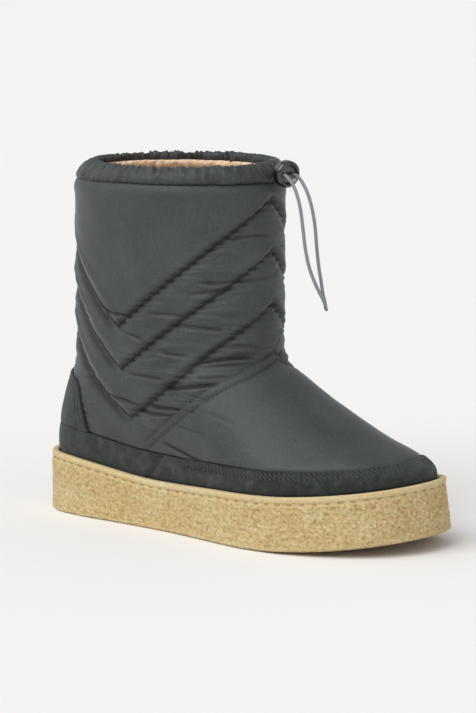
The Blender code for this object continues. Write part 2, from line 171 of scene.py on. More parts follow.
def smooth(at, stations, values):
    """Values read off a smooth curve through the stations, with no overshoot between them."""
    stations = np.asarray(stations, float)
    values = np.asarray(values, float)
    step = np.diff(stations)
    rise = np.diff(values) / step
    slope = np.concatenate((rise[:1], np.zeros(len(rise) - 1), rise[-1:]))
    before, after = rise[:-1], rise[1:]
    even = before * after > 0
    slope[1:-1][even] = 2 * before[even] * after[even] / (before[even] + after[even])
    at = np.clip(at, stations[0], stations[-1])
    k = np.clip(np.searchsorted(stations, at) - 1, 0, len(step) - 1)
    t = (at - stations[k]) / step[k]
    low = values[k] * (1 + 2 * t) + slope[k] * step[k] * t
    high = values[k + 1] * (3 - 2 * t) + slope[k + 1] * step[k] * (t - 1)
    return low * (1 - t) ** 2 + high * t ** 2


def sole_edge(turn):
    """Points of the sole's outline in plan: turn 0 is the toe, a quarter turn the outer side."""
    outer = np.mod(turn, 2 * pi) <= pi
    share = (1 + np.cos(turn)) / 2
    heading = np.arccos(1 - 2 * np.asarray(SOLE_OUTLINE["share"]))
    at = np.arccos(np.clip(1 - 2 * share, -1, 1))
    to_outer = -smooth(at, heading, SOLE_OUTLINE["outer"]) * MM
    to_inner = smooth(at, heading, SOLE_OUTLINE["inner"]) * MM
    return np.stack((SOLE_LENGTH * (share - 0.5), np.where(outer, to_outer, to_inner)), axis=-1)


def sole_inward(turn):
    """Unit vectors in plan, square to the sole's outline and into the sole."""
    small = 0.01
    along = sole_edge(turn + small) - sole_edge(turn - small)
    inward = np.stack((along[..., 1], -along[..., 0]), axis=-1)
    return inward / np.linalg.norm(inward, axis=-1, keepdims=True)


def underside(x):
    """Height of the sole's underside, which springs up under the toes."""
    share = np.clip((x - SPRING_START) / (SOLE_LENGTH / 2 - SPRING_START), 0, 1)
    return TOE_SPRING * share ** 2


def sole_top(x):
    """Height of the sole's top edge."""
    return underside(x) + smooth(x / MM, SOLE_HEIGHT["x"], SOLE_HEIGHT["height"]) * MM


def flare(turn):
    """How far the sole's side leans in by its top edge, inside the big toe."""
    return TOE_FLARE * np.clip(np.cos(turn - TOE_FLARE_TURN), 0, 1) ** 4


def sole_point(turn, inset, share=1.0, lift=0.0, spread=1.0):
    """Points of the sole: inside its outline, at a share of its height and a lift over that.

    A spread of 0 draws the points in to the middle line of the sole, where both sides meet. That line stops
    a little short of the toe and the heel.
    """
    edge = sole_edge(turn)
    plan = edge + sole_inward(turn) * (inset + flare(turn) * share)[..., None]
    across = (edge[..., 1] + sole_edge(-turn)[..., 1]) / 2
    middle = np.stack((MIDDLE_LINE_SHARE * edge[..., 0], across), axis=-1)
    plan = middle + (plan - middle) * np.asarray(spread)[..., None]
    low = underside(plan[..., 0])
    height = low + (sole_top(plan[..., 0]) - low) * share + lift
    return np.concatenate((plan, height[..., None]), axis=-1)


def wavering(points, size):
    """Smooth noise from -1 to 1 over points in space, with bumps of the given size."""
    return np.array([noise.noise(Vector(point)) for point in points / size])


def crumbs(points, size):
    """Rounded lumps of the given size, from 0 in the gaps between them to 1."""
    near = [noise.voronoi(Vector(point))[0] for point in points / size]
    return np.array([min(1.7 * (away[1] - away[0]), 1.0) for away in near])


def ring(columns, rows, place):
    """A grid rolled up into a closed ring. The place function turns each vertex's turn and row into a point,
    and gives it marks by name, such as its relief in millimetres, that the material reads as attributes."""
    made = bmesh.new()
    made.loops.layers.uv.new("UVMap")
    bmesh.ops.create_grid(made, x_segments=columns, y_segments=rows - 1, size=1, calc_uvs=True)
    spots = np.array([vert.co for vert in made.verts])
    turn = pi * (1 + spots[:, 0])
    row = np.rint((1 + spots[:, 1]) / 2 * (rows - 1)).astype(int)
    points, marks = place(turn, row)
    for name in marks:
        made.verts.layers.float.new(name)
    for name, values in marks.items():
        layer = made.verts.layers.float[name]
        for vert, value in zip(made.verts, values):
            vert[layer] = value
    for vert, point in zip(made.verts, points):
        vert.co = point
    bmesh.ops.remove_doubles(made, verts=made.verts, dist=0.002 * MM)
    bmesh.ops.recalc_face_normals(made, faces=made.faces)
    return made


def new_piece(name, shape, material):
    """A smooth-shaded object that rides on the boot's one body."""
    made = new_object(name, shape, material)
    made.data.shade_smooth()
    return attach(made, "root")


SOLE_COLUMNS = 880
CRUMB_SIZE = 2.2 * MM
CRUMB_SHIFT = 0.8 * MM
FINE_GRAIN_SIZE = 1.5 * MM
PIT_SIZE = 3.2 * MM
GROOVE_LOW = LIP_HEIGHT + GROOVE_HEIGHT + GROOVE_DEPTH

# For the tone alone, the underside counts as low as the pits do, as painted shade, and the lip higher, as a
# painted highlight
SHADED_UNDERSIDE = -0.8
LIT_LIP = 0.2

# Rows of the sole, from the middle of its underside up its side and over the lip to the middle of the cup's
# floor: inset, share of the height, lift over that, spread, and how strong the grain is
sole_rows = [(BOTTOM_ROLL, 0, 0, spread, 0) for spread in np.linspace(0, 1, 8)]
for a in np.linspace(0, pi / 2, 5)[1:]:
    sole_rows.append((BOTTOM_ROLL * (1 - np.sin(a)), 0, BOTTOM_ROLL * (1 - np.cos(a)), 1, 0.6))
for s in np.linspace(0, 1, 38)[1:]:
    sole_rows.append((0, s, BOTTOM_ROLL * (1 - s) - GROOVE_LOW * s, 1, 1))
sole_rows += [
    (0.5 * GROOVE_DEPTH, 1, -LIP_HEIGHT - GROOVE_HEIGHT - 0.3 * GROOVE_DEPTH, 1, 0.5),
    (GROOVE_DEPTH, 1, -LIP_HEIGHT - 0.8 * GROOVE_HEIGHT, 1, 0.3),
    (GROOVE_DEPTH, 1, -LIP_HEIGHT - 0.3 * GROOVE_HEIGHT, 1, 0.3),
    (0.4 * GROOVE_DEPTH, 1, -LIP_HEIGHT, 1, 0.3),
    (0, 1, 0.5 * GROOVE_DEPTH - LIP_HEIGHT, 1, 0.4),
    (0, 1, 0.4 * (LIP_ROLL - LIP_HEIGHT) - LIP_ROLL, 1, 0.6),
]
for a in np.linspace(0, pi / 2, 5):
    sole_rows.append((LIP_ROLL * (1 - np.cos(a)), 1, LIP_ROLL * (np.sin(a) - 1), 1, 0.4))
sole_rows += [
    (2.6 * MM, 1, 0, 1, 0.3),
    (LIP_WIDTH - 0.9 * MM, 1, -0.1 * MM, 1, 0.2),
    (LIP_WIDTH - 0.2 * MM, 1, -0.6 * MM, 1, 0),
    (LIP_WIDTH, 1, -1.5 * MM, 1, 0),
    (LIP_WIDTH, 1, -CUP_DEPTH, 1, 0),
]
sole_rows += [(LIP_WIDTH, 1, -CUP_DEPTH, spread, 0) for spread in (0.6, 0.3, 0)]


def crepe_side(turn, row):
    """Points of the whole sole, with its grain on the side and the lip, and the marks for its tone and
    painted light.
    """
    inset, share, lift, spread, grain = [np.array(column, float)[row] for column in zip(*sole_rows)]
    points = sole_point(turn, inset, share, lift, spread)
    shift = np.stack([wavering(points + k, 3 * MM) for k in (0.1, 0.2, 0.3)], axis=-1)
    lumps = 0.6 * crumbs(points + CRUMB_SHIFT * shift, CRUMB_SIZE) + 0.5 * wavering(points, FINE_GRAIN_SIZE)
    pits = np.clip(2.5 * wavering(points + 0.05, PIT_SIZE) - 0.5, 0, 1)
    height = (lumps - 0.5 - 0.25 * pits) * grain
    points[:, :2] -= sole_inward(turn) * (height * MM)[:, None]
    bottom_edge = (share == 0) & (lift > 0)
    points[:, 2] = np.maximum(points[:, 2] - 0.9 * height * MM * bottom_edge, 0)
    on_lip = (share == 1) & (lift > -LIP_HEIGHT)
    # The tone mark holds painted shade on the underside and a painted highlight on the lip
    return points, {"relief": np.where(share + lift > 0, height + LIT_LIP * on_lip, SHADED_UNDERSIDE)}


# Natural crepe rubber: pale tan, matt, with brown pits between the crumbs of its grain
crepe = new_material("natural_crepe_rubber")
# The tone follows the relief, darker down in the pits and lighter on the crumbs, partly as painted shade and
# highlight
relief = add(crepe, "Attribute", attribute_name="relief", out="Fac")
raised = add(crepe, "MapRange", {"Value": relief, "From Min": -0.9, "From Max": 0.5})
spot = add(crepe, "TexCoord", out="Object")
crumb = add(crepe, "TexNoise", {"Vector": spot, "Scale": 1 / (1.2 * MM), "Detail": 3.0})
speck = add(crepe, "TexNoise", {"Vector": spot, "Scale": 1 / (1.6 * MM), "Detail": 1.0}, out="Color")
patch = add(crepe, "TexNoise", {"Vector": spot, "Scale": 1 / (22 * MM), "Detail": 2.0})
mixed = add(crepe, "Mix", {"Factor_Float": 0.3, "A_Float": raised, "B_Float": crumb})
tone = add(
    crepe, "ValToRGB", {"Fac": mixed},
    ramp=((0.15, "#a08659"), (0.4, "#bda97b"), (0.6, "#cebc92"), (0.85, "#dacba4")),
)
warm = add(crepe, "ValToRGB", {"Fac": patch}, ramp=((0.35, "#faf4ea"), (0.65, "#ffffff")))
warmed = {"Factor_Float": 1.0, "A_Color": tone, "B_Color": warm}
tone = add(crepe, "Mix", warmed, data_type="RGBA", blend_type="MULTIPLY")
flecked = {"Factor_Float": 0.2, "A_Color": tone, "B_Color": speck}
tone = add(crepe, "Mix", flecked, data_type="RGBA", blend_type="OVERLAY")
bump = add(crepe, "Bump", {"Height": crumb, "Strength": 0.5, "Distance": 0.5 * MM})
add(
    crepe, "Principled BSDF",
    {"Base Color": tone, "Roughness": 0.8, "Specular IOR Level": 0.3, "Normal": bump},
)

outsole = new_piece("crepe_outsole", ring(SOLE_COLUMNS, len(sole_rows), crepe_side), crepe)
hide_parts("outsole")


# Sole stitching: one row of waxed brown thread round the sole, sunk in the groove under the lip, that
# holds the cup to the upper.

def stitched(stitches, width):
    """Joined threads, each from a start to an end on a surface with the given normal."""
    made = bmesh.new()
    for start, end, normal in stitches:
        along = Vector(end - start)
        out = Vector(normal)
        across = out.cross(along).normalized()
        out = along.cross(across).normalized()
        turned = Matrix((along.normalized(), across, out)).transposed().to_4x4()
        sized = Matrix.Diagonal((along.length / 2, width / 2, width / 2, 1))
        place = Matrix.Translation((start + end) / 2) @ turned @ sized
        bmesh.ops.create_uvsphere(made, u_segments=6, v_segments=5, radius=1, matrix=place)
    return made


def running(points, normals, stitch):
    """Stitches in a row along a line of points, one each pitch."""
    steps = np.linalg.norm(np.diff(points, axis=0), axis=1)
    at = np.concatenate(((0,), np.cumsum(steps)))
    middles = np.arange(stitch["pitch"] / 2, at[-1], stitch["pitch"])

    def read(values, where):
        return np.stack([np.interp(where, at, column) for column in values.T], axis=-1)

    starts = read(points, middles - stitch["length"] / 2)
    ends = read(points, middles + stitch["length"] / 2)
    return list(zip(starts, ends, read(normals, middles)))


SOLE_STITCH = {"length": 3.4 * MM, "pitch": 7.4 * MM, "width": 1.0 * MM}
THREAD_TWIST = 0.5 * MM

turns = np.linspace(0, 2 * pi, 1200)
groove = sole_point(turns, 0.95 * GROOVE_DEPTH, lift=-LIP_HEIGHT - GROOVE_HEIGHT / 2)
outwards = np.concatenate((-sole_inward(turns), 0 * turns[:, None]), axis=-1)


def spun_thread(name, dark, light, roughness):
    """Spun thread, mottled between a dark and a light tone by its twist."""
    made = new_material(name)
    spot = add(made, "TexCoord", out="Object")
    twist = add(made, "TexNoise", {"Vector": spot, "Scale": 1 / THREAD_TWIST})
    tone = add(made, "ValToRGB", {"Fac": twist}, ramp=((0.3, dark), (0.7, light)))
    add(made, "Principled BSDF", {"Base Color": tone, "Roughness": roughness})
    return made


# Waxed linen thread: brown, a little darker than the rubber it lies in
waxed = spun_thread("waxed_brown_thread", "#9c8156", "#ba9d70", 0.7)

sewn = stitched(running(groove, outwards, SOLE_STITCH), SOLE_STITCH["width"])
sole_stitching = new_piece("sole_stitching", sewn, waxed)


# Footbed: an insole cut from a sheet of foam and covered with curly fleece. It lies in the cup of the sole,
# inside the upper, with its top edge rolled.

INSOLE_THICKNESS = 4.5 * MM
INSOLE_ROLL = 1.5 * MM
INSOLE_COLUMNS = 260

# Between the cup and the footbed stand the suede band and the wall of the upper, each a gap apart
SUEDE = 1.3 * MM
WALL = 6 * MM
GAP = 0.3 * MM

floor_lift = GAP - CUP_DEPTH
top_lift = floor_lift + INSOLE_THICKNESS

# Rows of the footbed, from the middle of its underside round its rolled edge to the middle of its top: inset
# as a share of the roll, lift under the sole's top edge, spread, and how long the pile is
bed_rows = [(0, floor_lift, spread, 0) for spread in (0, 0.5, 1)]
bed_rows += [
    (0, top_lift - INSOLE_ROLL, 1, 0),
    (0.3, top_lift - 0.4 * INSOLE_ROLL, 1, 0.4),
    (1, top_lift, 1, 0.7),
]
bed_rows += [(1, top_lift, spread, 1) for spread in np.linspace(1, 0, 30)[1:]]


def fleece_bed(turn, row):
    """Points of the footbed, with curls on its top."""
    roll, lift, spread, pile = [np.array(column, float)[row] for column in zip(*bed_rows)]
    inset = LIP_WIDTH + 3 * GAP + SUEDE + WALL + roll * INSOLE_ROLL
    points = sole_point(turn, inset, 1, lift, spread)
    curls = (wavering(points, 3.6 * MM) + 0.6 * wavering(points, 1.8 * MM)) * pile
    points[:, 2] += 0.5 * curls * MM
    return points, {"relief": curls}


# Fleece of synthetic wool: peach-tan curls, matt, painted lighter on their tips and darker down between them
# as light and shade
fleece = new_material("curly_fleece")
relief = add(fleece, "Attribute", attribute_name="relief", out="Fac")
spot = add(fleece, "TexCoord", out="Object")
curly = {"Vector": spot, "Scale": 1 / (1.6 * MM), "Detail": 4.0, "Distortion": 1.2}
curl = add(fleece, "TexNoise", curly)
raised = add(fleece, "MapRange", {"Value": relief, "From Min": -1.1, "From Max": 1.0})
mixed = add(fleece, "Mix", {"Factor_Float": 0.45, "A_Float": raised, "B_Float": curl})
tone = add(
    fleece, "ValToRGB", {"Fac": mixed},
    ramp=((0.2, "#d9b088"), (0.45, "#f3d2ae"), (0.75, "#fdebd6")),
)
bump = add(fleece, "Bump", {"Height": curl, "Strength": 0.8, "Distance": 0.8 * MM})
add(
    fleece, "Principled BSDF",
    {"Base Color": tone, "Roughness": 0.95, "Sheen Weight": 0.35, "Sheen Roughness": 0.5, "Normal": bump},
)

footbed = new_piece("fleece_footbed", ring(INSOLE_COLUMNS, len(bed_rows), fleece_bed), fleece)
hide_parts("insole")


# Upper: vamp and shaft of dark slate nylon over thin padding, quilted on the shaft in three chevrons, with
# a double-sewn seam from the throat down both sides and creases where the padding folds at the ankle.

ANKLE_HEIGHT = 100 * MM
COLLAR_HEIGHT = 204 * MM
SHAFT_SET_BACK = 0.19
THROAT_SOFTNESS = 0.05

# How far in plan the foot has come from the sole towards the ankle, at shares of the climb up to it
FOOT_RUN = {
    "climb": (0.0, 0.10, 0.20, 0.36, 0.55, 0.76, 1.0),
    "front": (0.0, 0.02, 0.11, 0.33, 0.55, 0.76, 1.0),
    "side": (0.0, 0.04, 0.14, 0.38, 0.64, 0.87, 1.0),
    "heel": (0.0, 0.00, 0.02, 0.12, 0.36, 0.72, 1.0),
}

# Ovals of the shaft: where the middle of each lies along the boot, and half its sizes, in millimetres
SHAFT_OVALS = {
    "ring": ("ankle", "collar"),
    "centre": (-43.5, -42.8),
    "half_length": (69.0, 66.7),
    "half_width": (45.5, 53.0),
}


def folded(turn):
    """The same turn on the outer side, for a form that is alike on both sides."""
    turn = np.mod(turn, 2 * pi)
    return np.minimum(turn, 2 * pi - turn)


def foot_turn(turn):
    """The turn on the sole that lies under a turn of the shaft, which stands over the heel."""
    return turn + SHAFT_SET_BACK * np.sin(turn)


def feather_line(turn):
    """Where the upper meets the sole, just inside the cup and the suede band."""
    return sole_point(foot_turn(turn), LIP_WIDTH + GAP + SUEDE + GAP)


def shaft_oval(turn, ring_name, height):
    """Points of an oval of the shaft at a height over the floor."""
    k = SHAFT_OVALS["ring"].index(ring_name)
    x = SHAFT_OVALS["centre"][k] + SHAFT_OVALS["half_length"][k] * np.cos(turn)
    y = -SHAFT_OVALS["half_width"][k] * np.sin(turn)
    return np.stack((x * MM, y * MM, height + 0 * turn), axis=-1)


def foot_and_shaft(turn, level):
    """Up the foot to the ankle at level 1, then up the shaft to the collar at level 2."""
    foot = feather_line(turn)
    ankle = shaft_oval(turn, "ankle", ANKLE_HEIGHT)
    collar = shaft_oval(turn, "collar", COLLAR_HEIGHT)
    climb = np.clip(level, 0, 1)
    ahead = np.cos(turn)
    front, heel = np.clip(ahead, 0, 1) ** 2, np.clip(-ahead, 0, 1) ** 2
    weights = {"front": front, "side": 1 - ahead ** 2, "heel": heel}
    run = sum(weight * smooth(climb, FOOT_RUN["climb"], FOOT_RUN[k]) for k, weight in weights.items())
    low = foot + (ankle - foot) * np.stack((run, run, climb), axis=-1)
    high = ankle + (collar - ankle) * np.clip(level - 1, 0, 1)[..., None]
    point = np.where(level[..., None] <= 1, low, high)
    point[..., 2] += CUP_DEPTH * np.minimum(level, 0)
    return point


def last_surface(turn, level):
    """The outside of the upper before quilting, with the fold at the throat softened."""
    soft = THROAT_SOFTNESS * np.exp(-((level - 1) / (2 * THROAT_SOFTNESS)) ** 2)
    return (foot_and_shaft(turn, level - soft) + foot_and_shaft(turn, level + soft)) / 2


def outward(turn, level):
    """Unit normals of the upper."""
    small = 0.004
    middle = np.clip(level, small, 2 - small)
    along = last_surface(turn + small, middle) - last_surface(turn - small, middle)
    up = last_surface(turn, middle + small) - last_surface(turn, middle - small)
    normal = np.cross(up, along)
    return normal / np.linalg.norm(normal, axis=-1, keepdims=True)


def level_at(turn, height):
    """The level of the upper at a height over the floor."""
    foot = feather_line(turn)[..., 2]
    low = (height - foot) / (ANKLE_HEIGHT - foot)
    high = 1 + (height - ANKLE_HEIGHT) / (COLLAR_HEIGHT - ANKLE_HEIGHT)
    return np.where(height < ANKLE_HEIGHT, low, high)


def shaft_arc(turn):
    """Length round the shaft from its front."""
    half_length, half_width = SHAFT_OVALS["half_length"][0], SHAFT_OVALS["half_width"][0]
    mean, uneven = (half_length + half_width) / 2, (half_length - half_width) / 4
    return (mean * turn - uneven * np.sin(2 * turn)) * MM


# Suede band and heel counter cover the foot of the upper, so their edges are settled first
MUDGUARD_HEIGHT = {"turn": (0.0, 0.85, 1.7, 3.15), "height": (14.5, 15, 16.5, 18)}
MUDGUARD_TUCK = 0.35
COUNTER_SPREAD_LOW = 0.99
COUNTER_SPREAD_HIGH = 0.83
COUNTER_RISE = 32 * MM
COUNTER_CORNER = 0.75
COUNTER_HALF_WIDTH = 52

band_turns = np.linspace(0, 2 * pi, 361)
band_levels = np.linspace(0, 0.6, 61)
climb = last_surface(*np.meshgrid(band_turns, band_levels))
steps = np.linalg.norm(np.diff(climb, axis=0), axis=-1)
climbed = np.concatenate((np.zeros((1, len(band_turns))), np.cumsum(steps, axis=0)))
band_heights = smooth(folded(band_turns), MUDGUARD_HEIGHT["turn"], MUDGUARD_HEIGHT["height"]) * MM
band_edge = np.array([np.interp(h, column, band_levels) for h, column in zip(band_heights, climbed.T)])


def mudguard_top(turn):
    """Level of the suede band's top edge."""
    return np.interp(np.mod(turn, 2 * pi), band_turns, band_edge)


def counter_spread(share):
    """Half the width of the heel counter as a turn, at a share of its height."""
    return COUNTER_SPREAD_LOW + (COUNTER_SPREAD_HIGH - COUNTER_SPREAD_LOW) * share


def counter_crown(across):
    """Height of the counter's round top as a share of its rise, across from -1 to 1."""
    return COUNTER_CORNER + (1 - COUNTER_CORNER) * np.sqrt(np.clip(1 - across ** 4, 0, 1))


def inside_counter(turn, level):
    """How far inside the heel counter's edge a place lies, in millimetres, and under 0 outside it."""
    turn = np.mod(turn, 2 * pi)
    climb = ANKLE_HEIGHT - feather_line(turn)[..., 2]
    share = np.clip((level - mudguard_top(turn)) * climb / COUNTER_RISE, 0, 2)
    across = np.abs(turn - pi) / counter_spread(np.minimum(share / COUNTER_CORNER, 1))
    from_top = (counter_crown(across) - share) * COUNTER_RISE / MM
    return np.minimum((1 - across) * COUNTER_HALF_WIDTH, from_top)


# Quilting: the height of each chevron line in millimetres at the front, at the point of its V and at the back
CHEVRONS = {"front": (195, 165, 134), "point": (119, 93.5, 64.5), "back": (189, 163, 138)}
# How much fainter the drawn line of each chevron is by the front
CHEVRON_FADE = (0.0, 0.15, 0.5)
CHEVRON_TURN = 1.73

# Level of the vamp seam by its turn, and how many millimetres up the cloth one level is taken as
VAMP_SEAM = {"turn": (0.0, 0.5, 0.8, 1.12, 1.42, 1.7), "level": (1.0, 0.9, 0.8, 0.64, 0.45, 0.22)}
SEAM_CLIMB = 70
SEAM_WIDTH = 4.4

# Depths and widths of the relief in millimetres
PILLOW_DEPTH = 2.3
PILLOW_WIDTH = 9.0
PANEL_EDGE = 3.5
BACK_EDGE = 7.5
PANEL_ROLL = 0.5
COLLAR_ROLL = 0.5
COLLAR_TUCK = 1.9
PILLOW_RISE = 0.6
SEWN_DEPTH = 0.7
SEWN_WIDTH = 0.8
PUCKER_DEPTH = 0.8
PUCKER_REACH_UP = 1.8
PUCKER_REACH_DOWN = 4.5
CRINKLE_DEPTH = 0.7
OVERHANG_SHADE = 3.0
TUCK_SHADE = 1.8

# Sizes along the cloth, and factors
PUCKER_PITCH = 3.7 * MM
SEAM_RIB_PITCH = 2.2 * MM
CRINKLE_SIZE = 16 * MM
CRINKLE_FLATNESS = 4.2
CREASE_SHARPNESS = 0.6
CREASE_GAIN = 1.25
CREASE_RIDGE = 0.6

# Creases, each through three places given as turn and level, with its depth and half its width in
# millimetres. A turn over 0 is on the outer side, one under 0 on the inner side.
CREASES = (
    ((0.96, 1.00), (0.64, 1.032), (0.30, 1.028), 1.7, 1.9),
    ((0.93, 0.97), (0.69, 0.985), (0.45, 0.985), 0.8, 1.6),
    ((1.32, 0.79), (1.02, 0.822), (0.68, 0.87), 2.0, 2.0),
    ((1.00, 0.89), (0.79, 0.90), (0.55, 0.93), 1.0, 1.8),
    ((1.66, 0.89), (1.45, 0.875), (1.26, 0.86), 1.0, 1.8),
    ((1.92, 0.678), (1.74, 0.652), (1.58, 0.628), 1.4, 1.7),
    ((1.52, 0.63), (1.30, 0.62), (1.13, 0.61), 1.7, 1.8),
    ((1.68, 0.58), (1.49, 0.568), (1.27, 0.572), 1.2, 1.7),
    ((1.40, 1.28), (1.18, 1.275), (0.98, 1.27), 0.9, 2.0),
    ((1.09, 1.215), (0.87, 1.205), (0.64, 1.195), 1.1, 2.0),
    ((1.29, 1.07), (1.16, 1.052), (1.00, 1.048), 0.9, 1.7),
    ((0.90, 1.468), (0.72, 1.458), (0.54, 1.468), 1.0, 1.9),
    ((1.00, 1.388), (0.80, 1.408), (0.50, 1.425), 0.8, 2.2),
    ((0.56, 1.695), (0.33, 1.713), (0.02, 1.713), 0.8, 2.2),
    ((0.50, 1.465), (0.30, 1.472), (0.01, 1.478), 0.7, 2.0),
    ((0.64, 1.095), (0.44, 1.102), (0.22, 1.09), 0.8, 2.2),
    ((1.90, 1.272), (1.73, 1.262), (1.56, 1.252), 1.5, 1.8),
    ((1.69, 1.172), (1.52, 1.14), (1.40, 1.11), 0.8, 1.7),
    ((1.53, 0.335), (1.43, 0.268), (1.33, 0.205), 1.7, 1.7),
    ((1.04, 0.61), (0.95, 0.57), (0.88, 0.53), 0.5, 2.0),
    ((1.36, 0.50), (1.25, 0.46), (1.14, 0.44), 0.5, 1.8),
    ((-2.15, 1.38), (-1.75, 1.21), (-1.25, 1.20), 1.8, 2.1),
    ((-1.28, 1.29), (-0.98, 1.25), (-0.74, 1.24), 1.2, 2.0),
    ((-1.52, 1.05), (-1.25, 0.99), (-0.95, 0.98), 1.1, 1.9),
    ((-1.02, 0.94), (-0.72, 0.99), (-0.46, 1.02), 0.7, 1.9),
    ((-1.36, 0.80), (-1.02, 0.83), (-0.70, 0.87), 1.8, 1.9),
    ((-1.02, 0.90), (-0.80, 0.915), (-0.56, 0.94), 1.0, 1.7),
    ((-1.56, 0.66), (-1.32, 0.63), (-1.10, 0.62), 1.6, 1.8),
    ((-1.68, 0.57), (-1.47, 0.55), (-1.26, 0.56), 1.3, 1.7),
    ((-1.46, 0.37), (-1.28, 0.29), (-1.06, 0.20), 1.8, 1.9),
    ((-1.56, 0.31), (-1.42, 0.255), (-1.26, 0.215), 1.2, 1.6),
    ((-0.92, 1.46), (-0.72, 1.452), (-0.52, 1.46), 1.0, 1.9),
    ((-0.52, 1.50), (-0.30, 1.515), (-0.02, 1.52), 0.7, 2.0),
)


def chevron_height(arc, k):
    """Height of a chevron line at an arc length from the front, and how fast it rises there."""
    front, point, back = [CHEVRONS[place][k] * MM for place in ("front", "point", "back")]
    point_arc, back_arc = shaft_arc(CHEVRON_TURN), shaft_arc(pi)
    rise = np.where(arc < point_arc, (front - point) / point_arc, (back - point) / (back_arc - point_arc))
    return np.interp(arc, (0, point_arc, back_arc), (front, point, back)), rise


def crease_shape(points, spine, depth, width):
    """A crease round its spine: its soft trough and the ridge under it in millimetres, the distance from
    its bottom line, which is under 0 below that line, and how strongly its line of painted shade shows there."""
    best = np.full(len(points), np.inf)
    below = np.zeros(len(points))
    share = np.zeros(len(points))
    for k, (start, end) in enumerate(zip(spine, spine[1:])):
        along = end - start
        t = np.clip((points - start) @ along / (along @ along), 0, 1)
        nearest = start + t[:, None] * along
        away = np.linalg.norm(points - nearest, axis=1) / MM
        closer = away < best
        best[closer] = away[closer]
        below[closer] = (nearest - points)[closer, 2]
        share[closer] = (k + t[closer]) / (len(spine) - 1)
    ends = np.clip(1 - np.abs(2 * share - 1) ** 5, 0, 1)
    trough = np.exp(-np.sqrt(best ** 2 + 0.1) / width)
    ridge = CREASE_RIDGE * np.exp(-((best - 1.9 * width) / (1.3 * width)) ** 2) * (below > 0)
    strength = min(depth / 1.6, 1.0) * ends * np.exp(-(best / 2) ** 2)
    return depth * ends * (ridge - trough), np.where(below > 0, -best, best), strength


